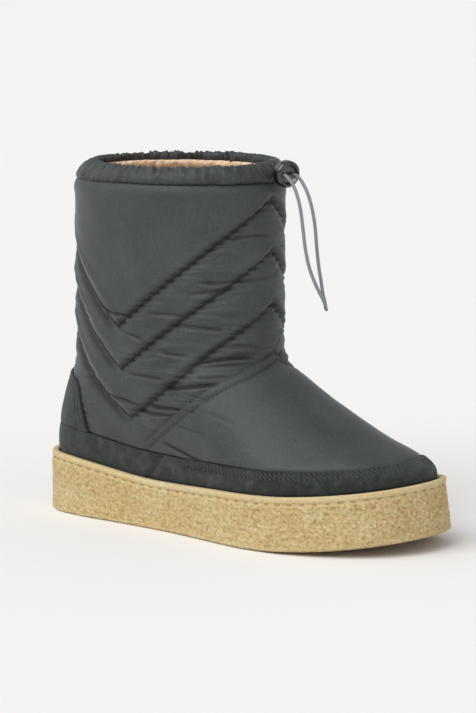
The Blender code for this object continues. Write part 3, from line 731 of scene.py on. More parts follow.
def upper_relief(turn, level, points):
    """Height of the quilted, sewn and creased outside over the plain form in millimetres, and its marks for
    painted
    shade: the relief of its folds, the distances to its sewn lines and creases, and where each of these
    shows."""
    side = folded(turn)
    arc = shaft_arc(side)
    height = points[:, 2]
    away = np.full(len(points), np.inf)
    shown = np.ones(len(points))
    for k, fade in enumerate(CHEVRON_FADE):
        line, rise = chevron_height(arc, k)
        over = (height - line) / np.hypot(1, rise) / MM
        nearer = np.abs(over) < np.abs(away)
        away = np.where(nearer, over, away)
        shown = np.where(nearer, 1 - fade * np.clip(1 - side / CHEVRON_TURN, 0, 1), shown)
    padded_part = height < chevron_height(arc, 0)[0]
    seam = smooth(side, VAMP_SEAM["turn"], VAMP_SEAM["level"])
    from_seam = (level - seam) * SEAM_CLIMB
    on_vamp = (from_seam < 0) & (side < VAMP_SEAM["turn"][-1])

    # Quilted lines between pillows of padding, pulled into short level puckers along the front arms
    waver = wavering(points, 14 * MM)
    line = SEWN_DEPTH * np.exp(-np.abs(away) / SEWN_WIDTH)
    pucker = height / PUCKER_PITCH + 0.3 * waver
    front_arm = np.clip((CHEVRON_TURN - side) / 0.05 + 0.5, 0, 1)
    pulled = (0.2 + 0.8 * front_arm) * (0.5 + 0.5 * np.cos(2 * pi * pucker)) ** 1.5
    streak = PUCKER_REACH_DOWN + 3 * wavering(points + 0.4, 9 * MM)
    reach = np.where(away > 0, PUCKER_REACH_UP, streak)
    folds = -line - PUCKER_DEPTH * pulled * np.exp(-np.abs(away) / reach)

    # Fine crinkles of the padded cloth, which lie level and are faint above the chevrons and on the vamp
    crinkle = wavering(points * np.array((1, 1, CRINKLE_FLATNESS)), CRINKLE_SIZE)
    gathered_in = np.clip(0.3 + 2.5 * wavering(points + 0.7, 24 * MM), 0, 1)
    strength = np.where(padded_part, 1.0, 0.15)
    folds -= strength * CRINKLE_DEPTH * gathered_in * np.exp(-(crinkle / 0.09) ** 2)
    edge = PANEL_EDGE + (BACK_EDGE - PANEL_EDGE) * (1 - front_arm)
    pillow = np.clip(1 - np.abs(away) / np.where(away < 0, PILLOW_WIDTH, edge), 0, 1) ** 2
    rolled = PANEL_ROLL * np.exp(-((away - edge) / 2.5) ** 2)
    form = PILLOW_RISE - PILLOW_DEPTH * pillow + rolled + strength * 0.6 * crinkle

    # Vamp seam: two sewn rows with a faint ripple across the strip between them, where fine ribs are drawn as
    # painted shade, and a smooth vamp below
    folds = np.where(on_vamp, 0, folds)
    form = np.where(on_vamp, 0.5 + 0.12 * crinkle, form)
    seam_fade = np.clip(8 * (VAMP_SEAM["turn"][-1] + 0.05 - side), 0, 1)
    for edge in (0, SEAM_WIDTH):
        row = np.abs(from_seam - edge)
        folds -= seam_fade * SEWN_DEPTH * np.exp(-(row / SEWN_WIDTH) ** 2)
        form -= seam_fade * 0.3 * np.exp(-row / 3)
    in_seam = np.exp(-np.abs(from_seam - SEAM_WIDTH / 2) / 3)
    form -= seam_fade * 0.16 * in_seam * np.cos(2 * pi * arc / (2.9 * MM))
    rib = arc / SEAM_RIB_PITCH + 0.6 * waver
    patchy = np.clip(0.8 + 1.3 * wavering(points + 0.9, 20 * MM), 0, 1)
    ribbed = 0.3 * patchy * seam_fade * np.exp(-((from_seam - SEAM_WIDTH / 2) / 3) ** 4)

    # Creases stop short of the sewn strip
    off_seam = 1 - seam_fade * np.clip(2 - np.abs(from_seam - SEAM_WIDTH / 2) / 1.6, 0, 1)
    # The two sewn rows are drawn as lines of painted shade, as the creases are, darker near the throat
    crease = np.minimum(np.abs(from_seam), np.abs(from_seam - SEAM_WIDTH))
    fold = seam_fade * (0.18 + 0.6 * np.clip(0.9 - side, 0, 1)) * (1 - off_seam)
    for start, middle, end, depth, width in CREASES:
        bow = np.polyfit((0, 0.5, 1), (start, middle, end), 2)
        along = np.linspace(0, 1, 13)[:, None]
        places = bow[0] * along ** 2 + bow[1] * along + bow[2]
        spine = last_surface(places[:, 0], places[:, 1])
        reach = np.linalg.norm(points - spine[6], axis=1) < np.linalg.norm(spine[0] - spine[-1])
        sunk, off, strength = crease_shape(points[reach], spine, depth, CREASE_SHARPNESS * width)
        strength = strength * off_seam[reach]
        folds[reach] += CREASE_GAIN * sunk * off_seam[reach]
        crease[reach] = np.where(strength > fold[reach], off, crease[reach])
        fold[reach] = np.maximum(strength, fold[reach])
    form += 0.4 * wavering(points, 26 * MM) + 0.2 * waver

    # The cloth turns in under the collar's seam, over a small roll, and lies flat under the suede
    under_collar = (2 - level) * (COLLAR_HEIGHT - ANKLE_HEIGHT) / MM
    form += COLLAR_ROLL * np.exp(-((under_collar - 5) / 3) ** 2) - COLLAR_TUCK * np.exp(-under_collar / 1.8)
    over_band = (level - mudguard_top(turn)) * SEAM_CLIMB
    inside = inside_counter(turn, level)
    folds -= SEWN_DEPTH * np.exp(-(over_band / SEWN_WIDTH) ** 2) + 0.3 * np.exp(-(inside / SEWN_WIDTH) ** 2)
    bare = np.clip(over_band / 1.5 + 0.5, 0, 1) * (1 - np.clip(inside / 1.5, 0, 1))

    # Marks: where the sewn lines are drawn dark with painted shade, and the painted shade under the back arms
    # and in the tuck under the collar
    sewn = 0.88 * shown * np.exp(-(away / 4) ** 2) * ~on_vamp
    behind = np.clip((side - CHEVRON_TURN) / 0.12, 0, 1)
    overhung = OVERHANG_SHADE * behind * np.exp(-((away + 2.4) / 2.2) ** 2) * ~on_vamp
    tucked = TUCK_SHADE * np.exp(-under_collar / 0.8)
    marks = {"relief": folds - overhung - tucked, "quilt": away, "sewn": sewn, "pucker": pucker}
    marks.update({"pulled": 0.85 * sewn * front_arm, "crease": crease, "fold": fold})
    marks.update({"rib": rib, "ribbed": ribbed})
    return (form + folds) * bare - 0.5 * (1 - bare), marks


UPPER_COLUMNS = 300
FOOT_ROWS = 120
SHAFT_ROWS = 180
EVEN_SPACING = 0.12
IN_CUP = -0.95
SHELL = 4.5 * MM
BACK_LEVELS = (1.6, 1.3, 1.15, 1.08, 1.04, 1.0, 0.96, 0.92, 0.85, 0.7, 0.5, 0.25, 0.0)

# Rows of the upper, up its outside, over its top edge and down inside: level, and how far out of the plain
# form, where 0 takes the relief
upper_rows = [(IN_CUP, 0.0)]
upper_rows += [(share, 0.0) for share in np.linspace(0, 1, FOOT_ROWS + 1)]
upper_rows += [(share, 0.0) for share in np.linspace(1, 2, SHAFT_ROWS + 1)[1:]]
upper_rows += [(2.0, -0.5 * SHELL), (2.0, -SHELL)]
upper_rows += [(share, -SHELL) for share in BACK_LEVELS]
upper_rows += [(IN_CUP, -SHELL), upper_rows[0]]


def padded_nylon(turn, row):
    """Points and marks of the upper, with its columns set evenly round it."""
    level, out = [np.array(column)[row] for column in zip(*upper_rows)]
    turn = turn + EVEN_SPACING * np.sin(2 * turn)
    points = last_surface(turn, level)
    height, marks = upper_relief(turn, level, points)
    out = np.where(out == 0, height * MM, out)
    return points + outward(turn, level) * out[:, None], marks


STREAK_WIDTH = 0.625 * MM
STREAK_LENGTH = 6.25 * MM


def taffeta(name, openness):
    """Nylon taffeta: dark slate with a soft sheen. The openness function adds nodes that give 1 on open cloth
    and less in its folds, where the colour is darkened as painted shade.

    Its threads are too fine to show, so they are drawn coarser, as streaks that run down the cloth.
    """
    cloth = new_material(name)
    spot = add(cloth, "TexCoord", out="Object")
    streaked = (1 / STREAK_WIDTH, 1 / STREAK_WIDTH, 1 / STREAK_LENGTH)
    threads = add(cloth, "Mapping", {"Vector": spot, "Scale": streaked})
    streak = add(cloth, "TexNoise", {"Vector": threads, "Scale": 1.0, "Detail": 2.0})
    cloud = add(cloth, "TexNoise", {"Vector": spot, "Scale": 1 / (28 * MM), "Detail": 4.0})
    weave = add(cloth, "TexNoise", {"Vector": spot, "Scale": 1 / (1.4 * MM), "Detail": 3.0})
    mixed = add(cloth, "Mix", {"Factor_Float": 0.6, "A_Float": streak, "B_Float": cloud})
    mixed = add(cloth, "Mix", {"Factor_Float": 0.25, "A_Float": mixed, "B_Float": weave})
    tone = add(cloth, "ValToRGB", {"Fac": mixed}, ramp=((0.32, "#2d3132"), (0.68, "#454a4b")))
    shaded = {"Factor_Float": 1.0, "A_Color": tone, "B_Color": openness(cloth)}
    tone = add(cloth, "Mix", shaded, data_type="RGBA", blend_type="MULTIPLY")
    rough = add(cloth, "MapRange", {"Value": cloud, "To Min": 0.5, "To Max": 0.64})
    bump = add(cloth, "Bump", {"Height": weave, "Strength": 0.6, "Distance": 0.3 * MM})
    add(
        cloth, "Principled BSDF",
        {
            "Base Color": tone, "Roughness": rough, "Specular IOR Level": 0.45, "Normal": bump,
            "Sheen Weight": 0.3, "Sheen Roughness": 0.3, "Sheen Tint": linear("#e4e6ea"),
        },
    )
    return cloth


# How each kind of line is drawn dark into the cloth as painted shade, along the sewn lines, in the puckers
# and
# creases and between the ribs: the mark that holds the distance to it, in millimetres or for a pucker or a
# rib in parts of its pitch, and where the line is full and where it has faded out
DRAWN_LINES = {
    "stitches": {"mark": "quilt", "full": 0.2, "faded": 1.0},
    "pucker_length": {"mark": "quilt", "full": 0.9, "faded": 2.5},
    "pucker": {"mark": "pucker", "full": 0.1, "faded": 0.34},
    "crease": {"mark": "crease", "full": 0.55, "faded": 1.5},
    "rib": {"mark": "rib", "full": 0.08, "faded": 0.4},
}
LINE_DARKNESS = 0.85


def quilted_openness(cloth):
    """Openness of the quilted cloth, painted shade in its folds and lines drawn from the distance to each,
    finer than the mesh is.
    """
    names = ("relief", "quilt", "sewn", "pucker", "pulled", "crease", "fold", "rib", "ribbed")
    marks = {name: add(cloth, "Attribute", attribute_name=name, out="Fac") for name in names}
    drawn = {}
    for name, line in DRAWN_LINES.items():
        repeats = name in ("pucker", "rib")
        distance = {"Value": marks[line["mark"]], "Value_001": 0.5}
        away = add(cloth, "Math", distance, operation="PINGPONG" if repeats else "ABSOLUTE")
        faded = {"Value": away, "From Min": line["full"], "From Max": line["faded"]}
        faded.update({"To Min": 1.0, "To Max": 0.0})
        drawn[name] = add(cloth, "MapRange", faded, interpolation_type="SMOOTHSTEP")
    pucker = {"Value": drawn["pucker"], "Value_001": drawn["pucker_length"]}
    drawn["pucker"] = add(cloth, "Math", pucker, operation="MULTIPLY")
    darkest = 0.0
    for name, where in (("stitches", "sewn"), ("pucker", "pulled"), ("crease", "fold"), ("rib", "ribbed")):
        both = {"Value": drawn[name], "Value_001": marks[where]}
        both = {"Value": darkest, "Value_001": add(cloth, "Math", both, operation="MULTIPLY")}
        darkest = add(cloth, "Math", both, operation="MAXIMUM", use_clamp=True)
    light = {"Value": darkest, "Value_001": -LINE_DARKNESS, "Value_002": 1.0}
    light = add(cloth, "Math", light, operation="MULTIPLY_ADD")
    sunk = {"Value": marks["relief"], "From Min": -3.1, "From Max": -0.2, "To Min": 0.34}
    sunk = add(cloth, "MapRange", sunk)
    return add(cloth, "Math", {"Value": light, "Value_001": sunk}, operation="MULTIPLY")


nylon = taffeta("slate_nylon_taffeta", quilted_openness)

upper = new_piece("quilted_upper", ring(UPPER_COLUMNS, len(upper_rows), padded_nylon), nylon)
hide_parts("upper")


# Lining: curly fleece glued inside the shaft and the foot. It comes up inside the collar, where it shows
# as a light strip under the gathered edge.

TUNNEL_HEIGHT = 11.5 * MM
TUNNEL_TILT = 1.7 * MM
TUNNEL_HEEL_LEAN = 5 * MM
LINING_COLUMNS = 330
LINING_BACK = 4.9
PILE = 1.2

# Rows of the lining, up its pile side, over its roll inside the collar and down its back: level, how far out
# of the plain form and how far over the collar's seam in millimetres, and how long the pile is
lining_rows = [(share, -6.0, 0.0, 1.0) for share in np.linspace(-0.3, 1.3, 50)]
lining_rows += [(share, -6.0, 0.0, 1.0) for share in np.linspace(1.3, 2, 52)[1:]]
lining_rows += [
    (2.0, -7.4, 1.0, 1.0), (2.0, -9.4, 2.2, 1.0), (2.0, -10.9, 3.5, 1.0), (2.0, -11.6, 4.8, 1.0),
    (2.0, -11.5, 6.0, 1.0), (2.0, -10.6, 6.9, 0.9), (2.0, -9.0, 7.2, 0.6), (2.0, -7.0, 5.0, 0.0),
    (2.0, -LINING_BACK, 0.0, 0.0),
]
lining_rows += [(share, -LINING_BACK, 0.0, 0.0) for share in BACK_LEVELS + (-0.3,)]
lining_rows.append(lining_rows[0])


def tunnel_height(turn):
    """Height of the collar tunnel, which is lower on the outer side."""
    return TUNNEL_HEIGHT - TUNNEL_TILT * np.sin(turn)


def tunnel_lean(turn, share):
    """How far the collar is drawn in over the heel, at a share of the tunnel's height."""
    return TUNNEL_HEEL_LEAN * (1 - np.cos(turn)) / 2 * share


def fleece_wall(turn, row):
    """Points of the lining, which leans in with the collar, with curls on its pile side."""
    level, out, rise, pile = [np.array(column)[row] for column in zip(*lining_rows)]
    points = last_surface(turn, level)
    inward = -outward(turn, level)
    inward[:, 2] *= np.clip(5 * level, 0, 1) * np.clip(2 - level, 0, 1)
    share = rise * MM / TUNNEL_HEIGHT
    points += inward * (tunnel_lean(turn, share) - out * MM)[:, None]
    points[:, 2] += share * tunnel_height(turn)
    curls = (crumbs(points, 4.4 * MM) - 0.6 + 0.7 * wavering(points, 2.2 * MM)) * pile
    return points + inward * (PILE * curls * MM)[:, None], {"relief": curls}


lining = new_piece("fleece_lining", ring(LINING_COLUMNS, len(lining_rows), fleece_wall), fleece)


# Quilting thread: dark polyester, lock-stitched along the chevron lines through cloth and padding, where the
# cloth closes over most of it.

QUILT_STITCH = {"length": 3.0 * MM, "pitch": 3.9 * MM, "width": 0.65 * MM}


def on_upper(turn, level, out):
    """Points and normals at a distance in millimetres over the finished outside of the upper."""
    points = last_surface(turn, level)
    normal = outward(turn, level)
    return points + normal * ((upper_relief(turn, level, points)[0] + out) * MM)[:, None], normal


quilt_legs = []
side = np.linspace(0.015, pi - 0.015, 500)
for turn in (side, 2 * pi - side):
    for k in range(len(CHEVRONS["front"])):
        line = chevron_height(shaft_arc(side), k)[0]
        points, normals = on_upper(turn, level_at(turn, line), 0.15)
        quilt_legs += running(points, normals, QUILT_STITCH)

# Polyester thread: near black, with a little gloss
thread = spun_thread("dark_polyester_thread", "#1d1f20", "#303334", 0.55)

quilting = new_piece("quilting_thread", stitched(quilt_legs, QUILT_STITCH["width"]), thread)


# Vamp seam thread: two rows of dark slate polyester along the seam between vamp and shaft, with a strip of
# cloth a few millimetres wide between them, drawn into fine ribs.

SEAM_STITCH = {"length": 2.2 * MM, "pitch": 2.9 * MM, "width": 0.5 * MM}

seam_legs = []
side = np.linspace(0.02, VAMP_SEAM["turn"][-1] - 0.02, 300)
for turn in (side, 2 * pi - side):
    for edge in (0, SEAM_WIDTH):
        level = smooth(side, VAMP_SEAM["turn"], VAMP_SEAM["level"]) + edge / SEAM_CLIMB
        points, normals = on_upper(turn, level, 0.1)
        seam_legs += running(points, normals, SEAM_STITCH)

# Polyester thread in slate: darker than the cloth, and matter than the quilting thread
slate_thread = spun_thread("slate_polyester_thread", "#1f2223", "#2f3233", 0.6)

vamp_seam = new_piece("vamp_seam_thread", stitched(seam_legs, SEAM_STITCH["width"]), slate_thread)


# Mudguard: a band of green-grey suede round the foot, lasted under with the upper into the cup, lapped at
# both sides of the ankle and sewn along its top edge.

MUDGUARD_COLUMNS = 460
SIDE_LAP_TURN = 1.7
SIDE_LAP_SLANT = 0.13
SIDE_LAP_SOFTNESS = 0.012

# Rows of the band, up its outside, over its top edge and down its back: share of its height and of its
# thickness
mudguard_rows = [(-MUDGUARD_TUCK, 1.0), (0.0, 1.0)]
mudguard_rows += [(share, 1.0) for share in np.linspace(0, 0.94, 18)[1:]]
mudguard_rows += [(0.96, 1.0), (0.985, 0.85), (1.0, 0.5), (0.99, 0.1), (0.96, 0.0)]
mudguard_rows += [(share, 0.0) for share in (0.7, 0.4, 0.0)]
mudguard_rows += [(-MUDGUARD_TUCK, 0.0), (-MUDGUARD_TUCK, 1.0)]


def suede_band(turn, row):
    """Points of the suede band, with its laps, the dent of its stitching and a soft top edge, and its relief
    for painted shade.
    """
    share, skin = [np.array(column)[row] for column in zip(*mudguard_rows)]
    level = np.where(share < 0, share, share * mudguard_top(turn))
    points = last_surface(turn, level)
    lap = (folded(turn) - SIDE_LAP_TURN + SIDE_LAP_SLANT * np.clip(share, 0, 1)) / SIDE_LAP_SOFTNESS
    height = 0.4 / (1 + np.exp(-lap)) - 0.9 * np.exp(-(lap / 1.2) ** 2) + 0.25 * wavering(points, 12 * MM)
    height -= 0.4 * np.exp(-((share - 0.76) / 0.2) ** 2) * (folded(turn) < 1.45)
    # Sunk along its foot, which the material also darkens as painted shade
    height -= 1.0 * np.exp(-np.clip(share, 0, 1) / 0.08)
    height = (height - 0.6 * np.clip(share, 0, 1) ** 6) * skin
    points += outward(turn, level) * (GAP + (SUEDE + height * MM) * skin)[:, None]
    return points, {"relief": height}


# Suede: split leather with a short brushed nap, matt and mottled where the nap lies different ways
suede = new_material("green_grey_suede")
spot = add(suede, "TexCoord", out="Object")
short = {"Vector": spot, "Scale": 1 / (0.8 * MM), "Detail": 4.0, "Roughness": 0.7}
nap = add(suede, "TexNoise", short)
strokes = {"Vector": spot, "Scale": 1 / (7 * MM), "Detail": 4.0, "Distortion": 0.8}
brushed = add(suede, "TexNoise", strokes)
mixed = add(suede, "Mix", {"Factor_Float": 0.45, "A_Float": brushed, "B_Float": nap})
greens = ((0.3, "#1b1e1e"), (0.5, "#2b2f2e"), (0.72, "#454a48"))
tone = add(suede, "ValToRGB", {"Fac": mixed}, ramp=greens)
# Painted shade where the band sinks: in the groove of its laps, along its foot over the sole's lip and a
# little at its top edge
relief = add(suede, "Attribute", attribute_name="relief", out="Fac")
sunk = {"Value": relief, "From Min": -1.1, "From Max": -0.5, "To Min": 0.35}
sunk = add(suede, "MapRange", sunk)
shaded = {"Factor_Float": 1.0, "A_Color": tone, "B_Color": sunk}
tone = add(suede, "Mix", shaded, data_type="RGBA", blend_type="MULTIPLY")
bump = add(suede, "Bump", {"Height": nap, "Strength": 0.55, "Distance": 0.35 * MM})
add(
    suede, "Principled BSDF",
    {
        "Base Color": tone, "Roughness": 0.95, "Specular IOR Level": 0.15, "Normal": bump,
        "Sheen Weight": 0.22, "Sheen Roughness": 0.6, "Sheen Tint": linear("#c8d0ce"),
    },
)

mudguard = new_piece("suede_mudguard", ring(MUDGUARD_COLUMNS, len(mudguard_rows), suede_band), suede)
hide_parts("mudguard")


# Mudguard stitching: a close zigzag of grey polyester thread along the top edge of the band round the toe,
# where it sews the suede to the upper.

ZIGZAG = {"low": 0.60, "high": 0.98, "pitch": 1.5 * MM, "width": 0.6 * MM, "from": 1.46}


def on_suede(turn, share):
    """Points and normals on the outside of the suede band, at a share of its height."""
    level = share * mudguard_top(turn)
    normal = outward(turn, level)
    return last_surface(turn, level) + normal * (GAP + SUEDE - 0.1 * MM), normal


toe_turns = np.linspace(-ZIGZAG["from"], ZIGZAG["from"], 2000)
edge_points = on_suede(toe_turns, np.full_like(toe_turns, 0.8))[0]
run = np.concatenate(((0,), np.cumsum(np.linalg.norm(np.diff(edge_points, axis=0), axis=1))))
corner_turns = np.interp(np.arange(0, run[-1], ZIGZAG["pitch"]), run, toe_turns)
low = np.arange(len(corner_turns)) % 2 == 0
corners, normals = on_suede(corner_turns, np.where(low, ZIGZAG["low"], ZIGZAG["high"]))
legs = list(zip(corners[:-1], corners[1:], normals[:-1]))

# Polyester thread of the suede's own grey, lighter than most of the nap it is sunk in
grey_thread = spun_thread("grey_polyester_thread", "#343838", "#444848", 0.6)

zigzag = new_piece("mudguard_zigzag", stitched(legs, ZIGZAG["width"]), grey_thread)


# Heel counter: a suede patch up the back of the heel, cut narrower at its round top and sewn on with two
# rows of stitches along its edge.

COUNTER_COLUMNS = 150
COUNTER_ROWS = 70
COUNTER_CLEAR = 0.004
COUNTER_STITCH_ROWS = (2.6, 5.4)


def counter_place(across, share):
    """Turn and level on the heel counter: across from -1 to 1, share from its foot to its top."""
    turn = pi + counter_spread(share) * across
    low = mudguard_top(turn) + COUNTER_CLEAR
    climb = ANKLE_HEIGHT - feather_line(turn)[..., 2]
    return turn, low + share * counter_crown(across) * COUNTER_RISE / climb


shape = bmesh.new()
shape.loops.layers.uv.new("UVMap")
bmesh.ops.create_grid(shape, x_segments=COUNTER_COLUMNS, y_segments=COUNTER_ROWS, size=1, calc_uvs=True)
spots = np.array([vert.co for vert in shape.verts])
across, share = spots[:, 0], (1 + spots[:, 1]) / 2
turn, level = counter_place(across, share)
points = last_surface(turn, level)
from_edge = np.minimum((1 - np.abs(across)) * COUNTER_HALF_WIDTH, (1 - share) * COUNTER_RISE / MM)
height = 1.0 - 0.6 * np.exp(-from_edge / 0.6) - 0.2 * np.exp(-share * COUNTER_RISE / MM / 2)
for row in COUNTER_STITCH_ROWS:
    height -= 0.4 * np.exp(-((from_edge - row) / 0.7) ** 2)
height += 0.2 * wavering(points, 11 * MM)
for vert, point in zip(shape.verts, points + outward(turn, level) * (height * MM)[:, None]):
    vert.co = point
bmesh.ops.recalc_face_normals(shape, faces=shape.faces)
bmesh.ops.solidify(shape, geom=shape.faces[:], thickness=1.0 * MM)

counter = new_piece("suede_heel_counter", shape, suede)
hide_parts("heel_counter")


# Counter stitching: two rows of grey thread inside the edge of the heel counter, up both sides and over its
# top, sewn through to the upper.

COUNTER_STITCH = {"length": 2.3 * MM, "pitch": 3.0 * MM, "width": 0.6 * MM}

counter_legs = []
for row in COUNTER_STITCH_ROWS:
    side = 1 - row / COUNTER_HALF_WIDTH
    top = 1 - row * MM / COUNTER_RISE
    up = np.linspace(0.03, top, 120)
    over = np.linspace(-side, side, 300)
    around = np.concatenate((np.full(120, -side), over, np.full(120, side)))
    climb = np.concatenate((up, np.full(300, top), up[::-1]))
    turn, level = counter_place(around, climb)
    normals = outward(turn, level)
    line = last_surface(turn, level) + normals * (0.75 * MM)
    counter_legs += running(line, normals, COUNTER_STITCH)

sewn = stitched(counter_legs, COUNTER_STITCH["width"])
counter_stitching = new_piece("counter_stitching", sewn, grey_thread)


# Collar tunnel: a channel of the same nylon sewn round the top of the shaft. The drawcord in it gathers the
# cloth into close little folds, deepest along its top edge.

TUNNEL_COLUMNS = 900
TUNNEL_STEPS = 40
TUNNEL_MIDDLE = -4.5
TUNNEL_HALF_WIDTH = 4.8
TUNNEL_LEAN = 1.6
GATHER = 3.6 * MM


def gathered_channel(turn, row):
    """Points of the tunnel, whose rows go round its section from its lowest point."""
    a = 2 * pi * row / TUNNEL_STEPS - pi / 2
    seam = last_surface(turn, 2 + 0 * turn)
    out = np.stack((np.cos(turn), -np.sin(turn), 0 * turn), axis=-1)
    half = tunnel_height(turn) / MM / 2 + 0.25
    face = seam + out * (TUNNEL_HALF_WIDTH * MM * np.cos(a))[:, None]
    face[:, 2] += half * np.sin(a) * MM

    # Beads of cloth along the top edge and down the inner face, and wrinkles here and there on the outer face
    edge = np.clip(0.35 + 0.65 * np.sin(a) - 0.3 * np.cos(a), 0, 1)
    wander = seam + out * (0.25 * GATHER * np.sin(a))[:, None]
    beads = 1 - 2.6 * np.abs(wavering(wander, GATHER))
    fine = wavering(wander + 0.3 + 0.3 * MM * row[:, None], 0.45 * GATHER)
    drawn = (1.15 - 0.25 * np.sin(turn)) * (1 + 1.2 * wavering(seam + 0.2, 18 * MM))
    height = edge * drawn * (1.1 * beads + 0.7 * fine - 0.4) + 0.3 * wavering(seam, 9 * MM)
    patchy = np.clip(0.25 + 2.2 * wavering(seam + 0.5, 16 * MM), 0, 1) * np.clip(np.cos(a), 0, 1)
    pleat = np.clip(1 - 3.5 * np.abs(wavering(face * np.array((1, 1, 0.3)) + 0.9, 5 * MM)), 0, 1)
    height -= 0.9 * patchy * pleat
    height += 0.4 * wavering(face + 0.6, 2.6 * MM) * np.clip(np.cos(a) + 0.3, 0, 1)

    up = half - 0.5 + (half + 0.7 * height) * np.sin(a)
    across = TUNNEL_MIDDLE + (TUNNEL_HALF_WIDTH + height) * np.cos(a) - TUNNEL_LEAN * np.sin(a)
    across -= tunnel_lean(turn, up / half / 2) / MM
    points = seam + out * (across * MM)[:, None]
    points[:, 2] += up * MM
    # Painted shade: darker on the inner face and along the foot of the tunnel by its seam
    shaded = 0.5 * np.clip(-np.cos(a), 0, 1) + 1.6 * np.exp(-np.maximum(up, 0) / 0.7)
    return points, {"relief": height - shaded}


def gathered_openness(cloth):
    """Openness of the gathered cloth: painted shade, darkest down between its beads."""
    relief = add(cloth, "Attribute", attribute_name="relief", out="Fac")
    sunk = {"Value": relief, "From Min": -1.5, "From Max": 0.3, "To Min": 0.12}
    return add(cloth, "MapRange", sunk)


gathered = taffeta("gathered_nylon_taffeta", gathered_openness)

tunnel = new_piece("gathered_collar", ring(TUNNEL_COLUMNS, TUNNEL_STEPS + 1, gathered_channel), gathered)
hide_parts("collar_tunnel")


# Cord lock: a two-hole stopper of glossy dark plastic, moulded as a rounded disc with a dished face. It sits
# at the front of the collar, on the drawcord that runs through its holes.

LOCK_CENTRE = Vector((30.6, 5.6, 209.3)) * MM
LOCK_TURN = 0.35
LOCK_TIP = 0.16
LOCK_DIAMETER = 16 * MM
LOCK_THICKNESS = 7 * MM
LOCK_HOLE = 3 * MM
LOCK_HOLE_SPACING = 7.2 * MM
LOCK_ROUNDING = 2.2 * MM
LOCK_RIM = 1.2 * MM
LOCK_DISH = 1.6 * MM

turned = Matrix.Rotation(-LOCK_TURN, 4, "Z") @ Matrix.Rotation(pi / 2 + LOCK_TIP, 4, "Y")
lock_frame = Matrix.Translation(LOCK_CENTRE) @ turned
radius = LOCK_DIAMETER / 2
shape = bmesh.new()
bmesh.ops.create_cone(shape, cap_ends=True, segments=56, radius1=radius, radius2=radius, depth=LOCK_THICKNESS)
rims = [edge for edge in shape.edges if abs(edge.verts[0].co.z - edge.verts[1].co.z) < 1e-6]
bmesh.ops.bevel(
    shape, geom=rims, offset=LOCK_ROUNDING, segments=6, profile=0.5, affect="EDGES", material=-1,
    clamp_overlap=True,
)
caps = [face for face in shape.faces if len(face.verts) > 4]
bmesh.ops.inset_region(shape, faces=caps, thickness=LOCK_RIM, depth=-LOCK_DISH)
bmesh.ops.transform(shape, matrix=lock_frame, verts=shape.verts)

# Moulded plastic: near black, polished, so that it mirrors the soft lights
gloss = new_material("glossy_black_plastic")
spot = add(gloss, "TexCoord", out="Object")
flow = add(gloss, "TexNoise", {"Vector": spot, "Scale": 1 / (3 * MM), "Detail": 2.0})
rough = add(gloss, "MapRange", {"Value": flow, "To Min": 0.08, "To Max": 0.18})
add(
    gloss, "Principled BSDF",
    {
        "Base Color": linear("#151618"), "Roughness": rough,
        "Coat Weight": 1.0, "Coat Roughness": 0.06, "Coat IOR": 1.5,
    },
)

lock = new_piece("cord_stopper", shape, gloss)
for side in (-1, 1):
    drill = bmesh.new()
    hole = Matrix.Translation((0, side * LOCK_HOLE_SPACING / 2, 0))
    bmesh.ops.create_cone(
        drill, cap_ends=True, segments=24, radius1=LOCK_HOLE / 2, radius2=LOCK_HOLE / 2,
        depth=3 * LOCK_THICKNESS, matrix=lock_frame @ hole,
    )
    cutter = new_object("drill", drill, gloss)
    cut = lock.modifiers.new("hole", "BOOLEAN")
    cut.object = cutter
    bpy.context.view_layer.update()
    drilled = bpy.data.meshes.new_from_object(lock.evaluated_get(bpy.context.evaluated_depsgraph_get()))
    lock.modifiers.clear()
    lock.data = drilled
    bpy.data.objects.remove(cutter)
lock.data.shade_smooth()
lock.data.set_sharp_from_angle(angle=0.7)
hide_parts("cord_lock")


# Drawcord: thin braided elastic. It comes out of the tunnel at the front, runs through one hole of the
# stopper, hangs in a long loop and goes back through the other hole into the tunnel.

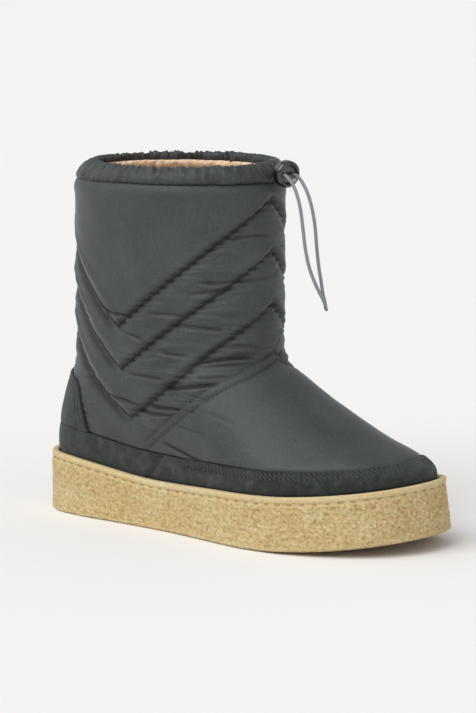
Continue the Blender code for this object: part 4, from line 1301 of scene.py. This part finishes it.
CORD_DIAMETER = 2 * MM
DRAWCORD_ROUTE = (
    (0.0238, 0.0042, 0.2103), (0.0266, 0.0032, 0.2098), (0.0294, 0.0022, 0.2093),
    (0.0340, 0.0005, 0.2085), (0.0412, -0.0022, 0.2030), (0.0452, -0.0039, 0.1970),
    (0.0479, -0.0049, 0.1900), (0.0497, -0.0051, 0.1800), (0.0513, -0.0048, 0.1680),
    (0.0534, -0.0037, 0.1570), (0.0564, -0.0014, 0.1470), (0.0590, 0.0009, 0.1400),
    (0.0600, 0.0022, 0.1366), (0.0598, 0.0036, 0.1336), (0.0585, 0.0063, 0.1324),
    (0.0566, 0.0083, 0.1336), (0.0556, 0.0088, 0.1366), (0.0550, 0.0081, 0.1400),
    (0.0546, 0.0068, 0.1470), (0.0540, 0.0049, 0.1570), (0.0535, 0.0035, 0.1680),
    (0.0526, 0.0030, 0.1800), (0.0507, 0.0028, 0.1900), (0.0479, 0.0034, 0.1970),
    (0.0437, 0.0048, 0.2030), (0.0365, 0.0073, 0.2085), (0.0318, 0.0090, 0.2093),
    (0.0281, 0.0103, 0.2099), (0.0250, 0.0115, 0.2104), (0.0220, 0.0126, 0.2109),
)

curve = bpy.data.curves.new("elastic_drawcord", "CURVE")
curve.dimensions = "3D"
curve.bevel_depth = CORD_DIAMETER / 2
curve.bevel_resolution = 4
curve.resolution_u = 8
curve.use_fill_caps = True
line = curve.splines.new("BEZIER")
line.bezier_points.add(len(DRAWCORD_ROUTE) - 1)
for spot, point in zip(line.bezier_points, DRAWCORD_ROUTE):
    spot.co = point
    spot.handle_left_type = "AUTO"
    spot.handle_right_type = "AUTO"
cord_length = sum((Vector(b) - Vector(a)).length for a, b in zip(DRAWCORD_ROUTE, DRAWCORD_ROUTE[1:]))

# Braided elastic: mid grey, with the slanting ribs of its braid. The node's diagonal bands repeat at 0.63 of
# the size it is given, so 2.4 mm draws ribs 1.5 mm apart, coarser than the real ones so that they show.
braid = new_material("grey_braided_elastic")
spot = add(braid, "TexCoord", out="Object")
slanting = {"Vector": spot, "Scale": 1 / (2.4 * MM), "Distortion": 1.5}
ribs = add(braid, "TexWave", slanting, out="Fac", bands_direction="DIAGONAL")
tone = add(braid, "ValToRGB", {"Fac": ribs}, ramp=((0.2, "#66676a"), (0.8, "#9a9b9f")))
bump = add(braid, "Bump", {"Height": ribs, "Strength": 0.5, "Distance": 0.2 * MM})
add(braid, "Principled BSDF", {"Base Color": tone, "Roughness": 0.5, "Normal": bump})

curve.materials.append(braid)
drawcord = bpy.data.objects.new("elastic_drawcord", curve)
bpy.context.scene.collection.objects.link(drawcord)
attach(drawcord, "root")
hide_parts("drawcord")
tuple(DRAWCORD_ROUTE[0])
